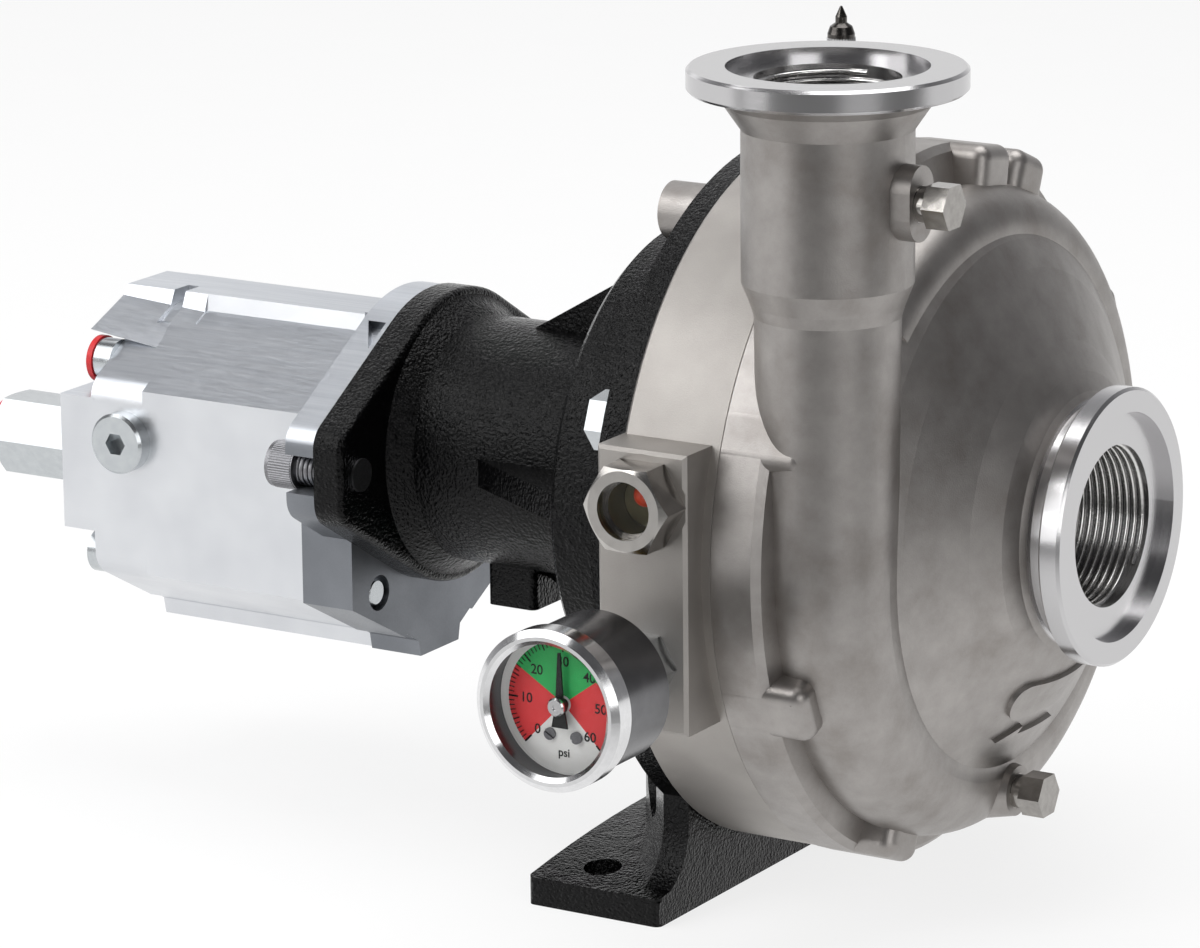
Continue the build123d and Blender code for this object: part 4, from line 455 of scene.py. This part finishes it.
def thread_tree():
    """Helical ridge of a screw thread round local Z, from its radius, pitch, turns and depth."""
    tree, inputs, output = new_tree("screw_thread", [
        ("Radius", "Float"), ("End Radius", "Float"), ("Pitch", "Float"), ("Turns", "Float"),
        ("Depth", "Float"), ("Material", "Material")])
    helix = add(tree, "GeometryNodeCurveSpiral", {"Resolution": 72}, {
        "Rotations": inputs["Turns"], "Start Radius": inputs["Radius"], "End Radius": inputs["End Radius"],
        "Height": maths(tree, "MULTIPLY", inputs["Pitch"], inputs["Turns"])})
    upright = add(tree, "GeometryNodeSetCurveNormal", links={"Curve": helix.outputs["Curve"]}, mode="Z_UP")
    ridge = add(tree, "GeometryNodeCurvePrimitiveCircle", {"Resolution": 4}, {"Radius": inputs["Depth"]})
    swept = add(tree, "GeometryNodeCurveToMesh", {"Fill Caps": True}, {
        "Curve": upright.outputs["Curve"], "Profile Curve": ridge.outputs["Curve"]})
    close_tree(tree, inputs, output, swept.outputs["Mesh"])
    return tree


def knurl_tree():
    """Straight knurl: fine bars stood round local Z."""
    tree, inputs, output = new_tree("straight_knurl", [
        ("Radius", "Float"), ("Length", "Float"), ("Bar", "Float"), ("Count", "Int"),
        ("Material", "Material")])
    ring = add(tree, "GeometryNodeMeshCircle",
               links={"Vertices": inputs["Count"], "Radius": inputs["Radius"]})
    bar = add(tree, "GeometryNodeMeshCylinder", {"Vertices": 6},
              {"Radius": inputs["Bar"], "Depth": inputs["Length"]})
    stood = add(tree, "GeometryNodeInstanceOnPoints",
                links={"Points": ring.outputs["Mesh"], "Instance": bar.outputs["Mesh"]})
    close_tree(tree, inputs, output, stood.outputs["Instances"])
    return tree


def scale_tree():
    """Scale marks on an arc round local Z, clockwise from the start angle."""
    tree, inputs, output = new_tree("dial_scale", [
        ("Radius", "Float"), ("Start", "Float"), ("Step", "Float"), ("Count", "Int"),
        ("Length", "Float"), ("Width", "Float"), ("Thickness", "Float"), ("Material", "Material")])
    points = add(tree, "GeometryNodePoints", links={"Count": inputs["Count"]})
    index = add(tree, "GeometryNodeInputIndex").outputs["Index"]
    angle = maths(tree, "ADD", inputs["Start"], maths(tree, "MULTIPLY", index, inputs["Step"]))
    east = maths(tree, "MULTIPLY", maths(tree, "SINE", angle), inputs["Radius"])
    north = maths(tree, "MULTIPLY", maths(tree, "COSINE", angle), inputs["Radius"])
    spot = add(tree, "ShaderNodeCombineXYZ", links={"X": east, "Y": north})
    moved = add(tree, "GeometryNodeSetPosition",
                links={"Geometry": points.outputs["Points"], "Position": spot.outputs["Vector"]})
    turn = add(tree, "ShaderNodeCombineXYZ", links={"Z": maths(tree, "MULTIPLY", angle, -1.0)})
    size = add(tree, "ShaderNodeCombineXYZ",
               links={"X": inputs["Width"], "Y": inputs["Length"], "Z": inputs["Thickness"]})
    mark = add(tree, "GeometryNodeMeshCube", links={"Size": size.outputs["Vector"]})
    stood = add(tree, "GeometryNodeInstanceOnPoints", links={
        "Points": moved.outputs["Geometry"], "Instance": mark.outputs["Mesh"],
        "Rotation": turn.outputs["Vector"]})
    close_tree(tree, inputs, output, stood.outputs["Instances"])
    return tree


def mesh_from(build, name, material):
    """Mesh of a finished bmesh, with one material and its faces turned outward."""
    bmesh.ops.recalc_face_normals(build, faces=build.faces)
    mesh = bpy.data.meshes.new(name)
    build.to_mesh(mesh)
    build.free()
    mesh.materials.append(material)
    return mesh


def ring_sector(name, inner, outer, start, end, thickness, material, steps=48):
    """Flat closed sector of a ring, clockwise from the top between two angles in degrees."""
    build = bmesh.new()
    angles = [math.radians(start + (end - start) * i / steps) for i in range(steps + 1)]
    rims = []
    for height in (0.0, thickness):
        for radius in (inner, outer):
            rims.append([build.verts.new((radius * math.sin(a), radius * math.cos(a), height))
                         for a in angles])
    low_in, low_out, high_in, high_out = rims
    for i in range(steps):
        build.faces.new((high_in[i], high_out[i], high_out[i + 1], high_in[i + 1]))
        build.faces.new((low_in[i], low_in[i + 1], low_out[i + 1], low_out[i]))
        build.faces.new((low_out[i], low_out[i + 1], high_out[i + 1], high_out[i]))
        build.faces.new((low_in[i], high_in[i], high_in[i + 1], low_in[i + 1]))
    for i in (0, steps):
        build.faces.new((low_in[i], low_out[i], high_out[i], high_in[i]))
    return mesh_from(build, name, material)


def lathe(name, outline, material, steps=96):
    """Closed turned mesh from the (radius, height) points of an outline."""
    build = bmesh.new()
    rows = []
    for i in range(steps):
        angle = 2 * math.pi * i / steps
        rows.append([build.verts.new((r * math.cos(angle), r * math.sin(angle), h)) for r, h in outline])
    count = len(outline)
    for i in range(steps):
        here, there = rows[i], rows[(i + 1) % steps]
        for j in range(count):
            k = (j + 1) % count
            build.faces.new((here[j], there[j], there[k], here[k]))
    # Points that meet on the axis become one, and faces without an area go
    bmesh.ops.remove_doubles(build, verts=build.verts, dist=1e-7)
    bmesh.ops.dissolve_degenerate(build, edges=build.edges, dist=1e-7)
    return mesh_from(build, name, material)


def letters(name, text, size, thickness, material):
    """Upright mesh of a short text, centred on the origin."""
    boldness = 0.012
    curve = bpy.data.curves.new(name, "FONT")
    curve.body = text
    curve.size = size
    curve.align_x = "CENTER"
    curve.align_y = "CENTER"
    curve.extrude = thickness / 2
    curve.offset = size * boldness
    carrier = bpy.data.objects.new(name, curve)
    bpy.context.scene.collection.objects.link(carrier)
    bpy.context.view_layer.update()
    graph = bpy.context.evaluated_depsgraph_get()
    mesh = bpy.data.meshes.new_from_object(carrier.evaluated_get(graph))
    bpy.data.objects.remove(carrier)
    mesh.materials.clear()
    mesh.materials.append(material)
    return mesh


def length_property(label, description, default_mm):
    """Property for a length whose default is given in millimetres."""
    return FloatProperty(name=label, description=description, default=default_mm * MM, unit="LENGTH")


def angle_property(label, description, default_degrees):
    """Property for an angle whose default is given in degrees."""
    return FloatProperty(name=label, description=description, default=math.radians(default_degrees),
                         subtype="ANGLE")


class PumpThreadSizes(bpy.types.PropertyGroup):
    """Sizes of threads and knurls."""

    pipe_pitch: length_property("Pipe thread pitch", "11.5 turns per inch", 2.209)
    pipe_depth: length_property("Pipe thread depth", "Height of the ridge above the bore", 0.95)
    pipe_inner_step: length_property("Inner step", "How far inside the bore's wall the ridge starts", 0.2)
    pipe_outer_step: length_property("Outer step", "How far outside the bore's wall the ridge ends", 0.1)
    screw_pitch: length_property("Screw pitch", "16 turns per inch", 1.588)
    screw_depth: length_property("Screw thread depth", "Height of the ridge above the shank", 0.5)
    screw_shank: length_property("Screw shank radius", "Half of 3/8 inch", 4.76)
    screw_turns: FloatProperty(name="Screw turns", description="Turns seen below the head", default=5.5)
    head_length: length_property("Screw head length", "Along the mounting screw", 9.0)
    knurl_bars: IntProperty(name="Knurl bars", description="Bars round a screw head", default=56)
    knurl_bar: length_property("Knurl bar radius", "Half the width of one bar", 0.28)
    knurl_seat: length_property("Knurl seat", "How far a bar's middle lies inside the surface", 0.05)
    cap_bars: IntProperty(name="Cap bars", description="Bars round the valve cap", default=30)
    cap_knurl: length_property("Cap knurl length", "Height of the knurl on the valve cap", 8.0)


class PumpDialSizes(bpy.types.PropertyGroup):
    """Sizes and layout of the gauge's dial."""

    scale_radius: length_property("Scale radius", "Outer end of the marks and of the coloured ranges", 16.6)
    band_inner: length_property("Band inner radius", "Inner edge of the coloured ranges", 2.2)
    rim_radius: length_property("Rim radius", "Outer edge of the dial's rim, just inside the case", 19.05)
    rim_width: length_property("Rim width", "Breadth of the dial's rim", 0.7)
    number_radius: length_property("Number radius", "Circle that the numbers stand on", 11.2)
    number_size: length_property("Number size", "Height of the numbers", 3.7)
    unit_drop: length_property("Unit drop", "How far below the middle the unit stands", 13.2)
    unit_size: length_property("Unit size", "Height of the unit's letters", 3.2)
    ink: length_property("Ink thickness", "How far the print stands off the dial", 0.06)
    full_scale: IntProperty(name="Full scale", description="Highest number on the dial", default=60)
    sweep: FloatProperty(name="Sweep", description="Degrees from 0 to full scale", default=270.0)


class PumpStudio(bpy.types.PropertyGroup):
    """Camera that matches the photograph."""

    azimuth: angle_property("Azimuth", "Camera's angle round the pump", 31.61)
    elevation: angle_property("Elevation", "Camera's angle above the floor", 14.48)
    roll: angle_property("Roll", "Camera's lean", -0.60)
    distance: length_property("Distance", "Camera to target", 1631)
    focal_pixels: FloatProperty(name="Focal length in pixels", description="On an image 1200 wide",
                                default=5746.0)
    target: FloatVectorProperty(name="Target", description="Point that the camera looks at",
                                default=(-0.0396, 0.00152, 0.10158), subtype="XYZ")


class PUMP_OT_stage(bpy.types.Operator):
    """Makes the floor, the world, the lamps and the camera"""

    bl_idname = "pump.stage"
    bl_label = "Studio"

    def execute(self, context):
        studio = context.scene.pump_studio
        toward_camera = self.behind_camera(studio)
        self.floor(toward_camera)
        self.world(context, toward_camera)
        self.lamps(context)
        self.camera(context, studio, toward_camera)
        context.scene.view_settings.view_transform = "Standard"
        return {"FINISHED"}

    def behind_camera(self, studio):
        """Direction from the target to the camera."""
        side, rise = studio.azimuth, studio.elevation
        return Vector((math.sin(side) * math.cos(rise), -math.cos(side) * math.cos(rise), math.sin(rise)))

    def floor(self, toward_camera):
        """White paper floor. Metal mirrors it as white near the pump and as dark in front of it."""
        reach = 6.0
        # Metres in front of the pump between which its mirrored white fades, and by how much
        fade_start = 0.15
        fade_end = 0.5
        dimming = 0.92
        glow_share = 0.8
        corners = [(-reach, -reach, 0), (reach, -reach, 0), (reach, reach, 0), (-reach, reach, 0)]
        mesh = bpy.data.meshes.new("studio_floor")
        mesh.from_pydata(corners, [], [(0, 1, 2, 3)])
        material, tree, shader, place = start_finish("white_studio_paper", Roughness=0.9)
        fibre = noise(tree, place, size_mm=40.0, detail=2.0)
        tree.links.new(ramp(tree, fibre, [(0.3, "#f1f1f1"), (0.7, "#f3f3f3")]), shader.inputs["Base Color"])
        ahead = add(tree, "ShaderNodeVectorMath", {1: tuple(toward_camera)}, {0: place},
                    operation="DOT_PRODUCT").outputs["Value"]
        rays, seen = seen_rays(tree)
        dimmed = maths(tree, "MULTIPLY", rays["Is Glossy Ray"],
                       span(tree, ahead, fade_start, fade_end, 0.0, dimming))
        glow = add(tree, "ShaderNodeEmission", {"Color": (1, 1, 1, 1)},
                   {"Strength": maths(tree, "SUBTRACT", 1.0, dimmed)})
        mix = add(tree, "ShaderNodeMixShader",
                  links={1: shader.outputs["BSDF"], 2: glow.outputs["Emission"]})
        tree.links.new(maths(tree, "MULTIPLY", seen, glow_share), mix.inputs["Fac"])
        tree.links.new(mix.outputs["Shader"], tree.nodes["Material Output"].inputs["Surface"])
        mesh.materials.append(material)
        floor = placed("studio_floor", mesh, Matrix.Identity(4))

    def world(self, context, toward_camera):
        """White paper behind the pump, a dim room behind the camera, and a soft grey sky for its light."""
        sky_strength = 0.62
        world = bpy.data.worlds.new("studio_world")
        context.scene.world = world
        world.use_nodes = True
        tree = world.node_tree
        light = tree.nodes["Background"]
        direction = add(tree, "ShaderNodeTexCoord").outputs["Generated"]
        height = add(tree, "ShaderNodeSeparateXYZ", links={"Vector": direction}).outputs["Z"]
        sky = ramp(tree, span(tree, height, -0.2, 1.0), [
            (0.0, "#8f9092"), (0.35, "#a9aaac"), (1.0, "#f4f4f4")])
        tree.links.new(sky, light.inputs["Color"])
        light.inputs["Strength"].default_value = sky_strength
        depth = add(tree, "ShaderNodeVectorMath", {1: tuple(-toward_camera)}, {0: direction},
                    operation="DOT_PRODUCT")
        paper = ramp(tree, span(tree, depth.outputs["Value"], -0.5, 0.95), [
            (0.0, "#4e4e50"), (0.5, "#6e6e70"), (0.8, "#b4b4b6"), (1.0, "#ffffff")])
        white = add(tree, "ShaderNodeBackground", {"Strength": 1.0}, {"Color": paper})
        seen = seen_rays(tree)[1]
        mix = add(tree, "ShaderNodeMixShader", links={
            0: seen, 1: light.outputs["Background"], 2: white.outputs["Background"]})
        tree.links.new(mix.outputs["Shader"], tree.nodes["World Output"].inputs["Surface"])

    def lamps(self, context):
        """Soft boxes by name, place, side in metres and power in watts."""
        boxes = [
            ("key_box", (-1.0, -1.0, 1.1), 1.5, 15.5),
            ("top_box", (0.1, 0.2, 1.5), 1.2, 14.0),
            ("fill_box", (1.3, -0.9, 0.5), 0.9, 5.5),
            ("spark_box", (-0.5, -1.2, 1.3), 0.25, 2.5),
            ("low_box", (-0.7, -1.4, 0.3), 0.6, 2.2),
            ("rim_box", (-1.3, 0.9, 1.1), 0.9, 1.8),
        ]
        aim = Vector((0, 0, 0.1))
        for name, spot, size, power in boxes:
            lamp = bpy.data.lights.new(name, "AREA")
            lamp.size = size
            lamp.energy = power
            stand = bpy.data.objects.new(name, lamp)
            stand.matrix_world = facing(spot, Vector(spot) - aim)
            context.scene.collection.objects.link(stand)

    def camera(self, context, studio, toward_camera):
        """Camera at the photograph's angle."""
        lens = bpy.data.cameras.new("photo_camera")
        lens.sensor_width = SENSOR_WIDTH
        lens.lens = studio.focal_pixels / IMAGE_WIDTH * SENSOR_WIDTH
        lens.clip_end = 20.0
        matrix = facing(Vector(studio.target) + toward_camera * studio.distance, toward_camera)
        eye = bpy.data.objects.new("photo_camera", lens)
        eye.matrix_world = matrix @ Matrix.Rotation(studio.roll, 4, "Z")
        context.scene.collection.objects.link(eye)
        context.scene.camera = eye


class PUMP_OT_finishes(bpy.types.Operator):
    """Gives every CAD node the finish of its material slot, or its own"""

    bl_idname = "pump.finishes"
    bl_label = "Finishes"

    def execute(self, context):
        for part in frame["record"]["subparts"]:
            node = frame["nodes"][part["node"]]
            node.data.materials.clear()
            node.data.materials.append(finish(NODE_FINISHES.get(part["node"], part["material_slot"])))
        return {"FINISHED"}


class PUMP_OT_port_threads(bpy.types.Operator):
    """Cuts the pipe threads of the suction and the discharge"""

    bl_idname = "pump.port_threads"
    bl_label = "Port threads"

    def execute(self, context):
        sizes = context.scene.pump_threads
        # Turns left plain before the thread's start, and at both of its ends together
        first_clear_turns = 0.3
        clear_turns = 1.2
        tree = thread_tree()
        for mount in MOUNTS.values():
            if mount["kind"] != "threaded_hole":
                continue
            radius = mount["dims"]["r_mm"] * MM
            bore_length = mount["dims"]["length_mm"] * MM
            axis = Vector(mount["axis"])
            reach = bore_length / 2 - sizes.pipe_pitch * first_clear_turns
            start = Vector(mount["pos_m"]) - axis * reach
            values = {
                "Radius": radius - sizes.pipe_inner_step,
                "End Radius": radius + sizes.pipe_outer_step,
                "Pitch": sizes.pipe_pitch,
                "Turns": bore_length / sizes.pipe_pitch - clear_turns,
                "Depth": sizes.pipe_depth,
                "Material": finish("cut_thread"),
            }
            up = (0, 0, 1) if abs(axis.z) < 0.5 else (0, 1, 0)
            piece = grown(mount["name"] + "_ridges", tree, values, facing(start, axis, up))
            attach(piece, BODY)
        return {"FINISHED"}


class PUMP_OT_knurls(bpy.types.Operator):
    """Knurls the mounting screws and the valve cap, and threads the screws"""

    bl_idname = "pump.knurls"
    bl_label = "Knurls and screw threads"

    def execute(self, context):
        sizes = context.scene.pump_threads
        knurl = knurl_tree()
        self.mount_screws(sizes, knurl, thread_tree())
        self.valve_cap(sizes, knurl)
        return {"FINISHED"}

    def mount_screws(self, sizes, knurl, thread):
        """Knurled heads and threads of the two screws that hold the motor."""
        # The knurl is shorter than the head, its middle is shifted toward the thread,
        # and a plain neck parts head and thread
        margin = 1.6 * MM
        shift = 0.4 * MM
        neck = 0.2 * MM
        low, high, centre = box_of("motor_mount_screws")
        head_radius = (high.z - low.z) / 2
        for side, y in (("near", low.y + head_radius), ("far", high.y - head_radius)):
            middle = Vector((low.x + sizes.head_length / 2 + shift, y, centre.z))
            values = {
                "Radius": head_radius - sizes.knurl_seat,
                "Length": sizes.head_length - margin,
                "Bar": sizes.knurl_bar,
                "Count": sizes.knurl_bars,
                "Material": finish("alloy_steel"),
            }
            piece = grown(f"mount_screw_knurl_{side}", knurl, values, facing(middle, (1, 0, 0)))
            attach(piece, BODY)
            start = Vector((low.x + sizes.head_length + neck, y, centre.z))
            values = {
                "Radius": sizes.screw_shank,
                "End Radius": sizes.screw_shank,
                "Pitch": sizes.screw_pitch,
                "Turns": sizes.screw_turns,
                "Depth": sizes.screw_depth,
                "Material": finish("alloy_steel"),
            }
            piece = grown(f"mount_screw_thread_{side}", thread, values, facing(start, (1, 0, 0)))
            attach(piece, BODY)

    def valve_cap(self, sizes, knurl):
        """Knurl of the fill valve's cap."""
        plain_edge = 1.0 * MM
        low, high, centre = box_of("valve_cap")
        middle = Vector((centre.x, centre.y, low.z + plain_edge + sizes.cap_knurl / 2))
        values = {
            "Radius": (high.x - low.x) / 2 - sizes.knurl_seat,
            "Length": sizes.cap_knurl,
            "Bar": sizes.knurl_bar,
            "Count": sizes.cap_bars,
            "Material": finish("polished_steel"),
        }
        piece = grown("valve_cap_knurl", knurl, values, facing(middle, (0, 0, 1), (0, 1, 0)))
        attach(piece, "fill_valve_cap")


class PUMP_OT_dial(bpy.types.Operator):
    """Prints the gauge's coloured ranges, scale and numbers on its dial"""

    bl_idname = "pump.dial"
    bl_label = "Gauge dial"

    def execute(self, context):
        dial = context.scene.pump_dial
        base = facing((GAUGE.x, DIAL_FACE, GAUGE.z), (0, -1, 0))
        self.bands(dial, base)
        self.rim(dial, base)
        self.scale(dial, base)
        self.words(dial, base)
        return {"FINISHED"}

    def at(self, dial, value):
        """Degrees clockwise from the top at which a value stands."""
        return dial.sweep * (value / dial.full_scale - 0.5)

    def bands(self, dial, base):
        """Coloured ranges, from one value to another."""
        ranges = [
            ("dial_red_low", 0, 17, "dial_red"),
            ("dial_green_band", 17, 42, "dial_green"),
            ("dial_red_high", 42, 60, "dial_red"),
        ]
        for name, low, high, ink in ranges:
            mesh = ring_sector(name, dial.band_inner, dial.scale_radius, self.at(dial, low),
                               self.at(dial, high), dial.ink, finish(ink))
            attach(placed(name, mesh, base), BODY)

    def rim(self, dial, base):
        """White rim that closes the dial against the case."""
        outer = dial.rim_radius
        inner = outer - dial.rim_width
        outline = [(inner, 0.0), (outer, 0.0), (outer, dial.ink), (inner, dial.ink)]
        mesh = lathe("dial_rim", outline, finish("dial_white"))
        attach(placed("dial_rim", mesh, base), BODY)

    def scale(self, dial, base):
        """Marks of the scale, printed over the coloured ranges."""
        tree = scale_tree()
        over_bands = Matrix.Translation((0, 0, dial.ink * PRINT_LIFT))
        # Name, value between two marks, length and width
        marks = [
            ("fine", 1, 1.6 * MM, 0.3 * MM),
            ("middle", 5, 2.1 * MM, 0.36 * MM),
            ("bold", 10, 2.8 * MM, 0.5 * MM),
        ]
        for name, step, mark_length, width in marks:
            values = {
                "Radius": dial.scale_radius - mark_length / 2,
                "Start": math.radians(self.at(dial, 0)),
                "Step": math.radians(dial.sweep * step / dial.full_scale),
                "Count": dial.full_scale // step + 1,
                "Length": mark_length,
                "Width": width,
                "Thickness": dial.ink,
                "Material": finish("pointer_black"),
            }
            attach(grown("dial_marks_" + name, tree, values, base @ over_bands), BODY)

    def words(self, dial, base):
        """Plain numbers, and the unit under the pointer."""
        ink = finish("pointer_black")
        for value in range(0, dial.full_scale + 1, 10):
            angle = math.radians(self.at(dial, value))
            spot = Matrix.Translation((math.sin(angle) * dial.number_radius,
                                       math.cos(angle) * dial.number_radius, dial.ink * PRINT_LIFT))
            mesh = letters(f"dial_number_{value}", str(value), dial.number_size, dial.ink, ink)
            attach(placed(f"dial_number_{value}", mesh, base @ spot), BODY)
        mesh = letters("dial_unit", "psi", dial.unit_size, dial.ink, ink)
        spot = Matrix.Translation((0, -dial.unit_drop, dial.ink))
        attach(placed("dial_unit", mesh, base @ spot), BODY)


class PUMP_OT_pointer_hub(bpy.types.Operator):
    """Turns the bright hub on the pointer"""

    bl_idname = "pump.pointer_hub"
    bl_label = "Pointer hub"

    def execute(self, context):
        front = box_of("gauge_pointer")[0].y
        # Radius and height in mm of a chamfered disc with a shallow centre hole
        profile = [(0.0, 0.0), (2.5, 0.0), (2.5, 0.5), (2.1, 0.9), (0.8, 0.9), (0.7, 0.5), (0.0, 0.5)]
        outline = [(radius * MM, height * MM) for radius, height in profile]
        mesh = lathe("pointer_hub", outline, finish("polished_steel"), 48)
        piece = placed("pointer_hub", mesh, facing((GAUGE.x, front, GAUGE.z), (0, -1, 0)))
        attach(smooth(piece), "pointer")
        return {"FINISHED"}


class PUMP_OT_sight_oil(bpy.types.Operator):
    """Fills the sight glass with oil behind the float ball"""

    bl_idname = "pump.sight_oil"
    bl_label = "Sight glass oil"

    def execute(self, context):
        radius = 6.9 * MM
        thickness = 0.8 * MM
        set_back = 9.0 * MM
        high, centre = box_of("sight_glass_lens")[1:]
        outline = [(0.0, 0.0), (radius, 0.0), (radius, thickness), (0.0, thickness)]
        mesh = lathe("sight_glass_oil", outline, finish("barrier_oil"), 64)
        spot = (centre.x, high.y + set_back, centre.z)
        piece = placed("sight_glass_oil", mesh, facing(spot, (0, -1, 0)))
        attach(smooth(piece), BODY)
        return {"FINISHED"}


class PUMP_PT_sidebar(bpy.types.Panel):
    """Lists the makers of the pump's pieces"""

    bl_label = "Centrifugal Pump"
    bl_space_type = "VIEW_3D"
    bl_region_type = "UI"
    bl_category = "Pump"

    def draw(self, context):
        for operator in STEPS:
            self.layout.operator(operator.bl_idname)
        for group in GROUPS:
            settings = getattr(context.scene, group)
            for name in settings.__annotations__:
                self.layout.prop(settings, name)


STEPS = (PUMP_OT_stage, PUMP_OT_finishes, PUMP_OT_port_threads, PUMP_OT_knurls, PUMP_OT_dial,
         PUMP_OT_pointer_hub, PUMP_OT_sight_oil)
GROUPS = {"pump_threads": PumpThreadSizes, "pump_dial": PumpDialSizes, "pump_studio": PumpStudio}


def register():
    """Makes the groups, operators and panel known to Blender."""
    for group in (*GROUPS.values(), *STEPS, PUMP_PT_sidebar):
        bpy.utils.register_class(group)
    for name, group in GROUPS.items():
        setattr(bpy.types.Scene, name, PointerProperty(type=group))


def unregister():
    """Takes back what register did."""
    for name in GROUPS:
        delattr(bpy.types.Scene, name)
    for group in reversed((*GROUPS.values(), *STEPS, PUMP_PT_sidebar)):
        bpy.utils.unregister_class(group)


def main():
    """Runs every step in order."""
    register()
    for operator in STEPS:
        category, action = operator.bl_idname.split(".")
        getattr(getattr(bpy.ops, category), action)()


if __name__ == "__main__":
    main()
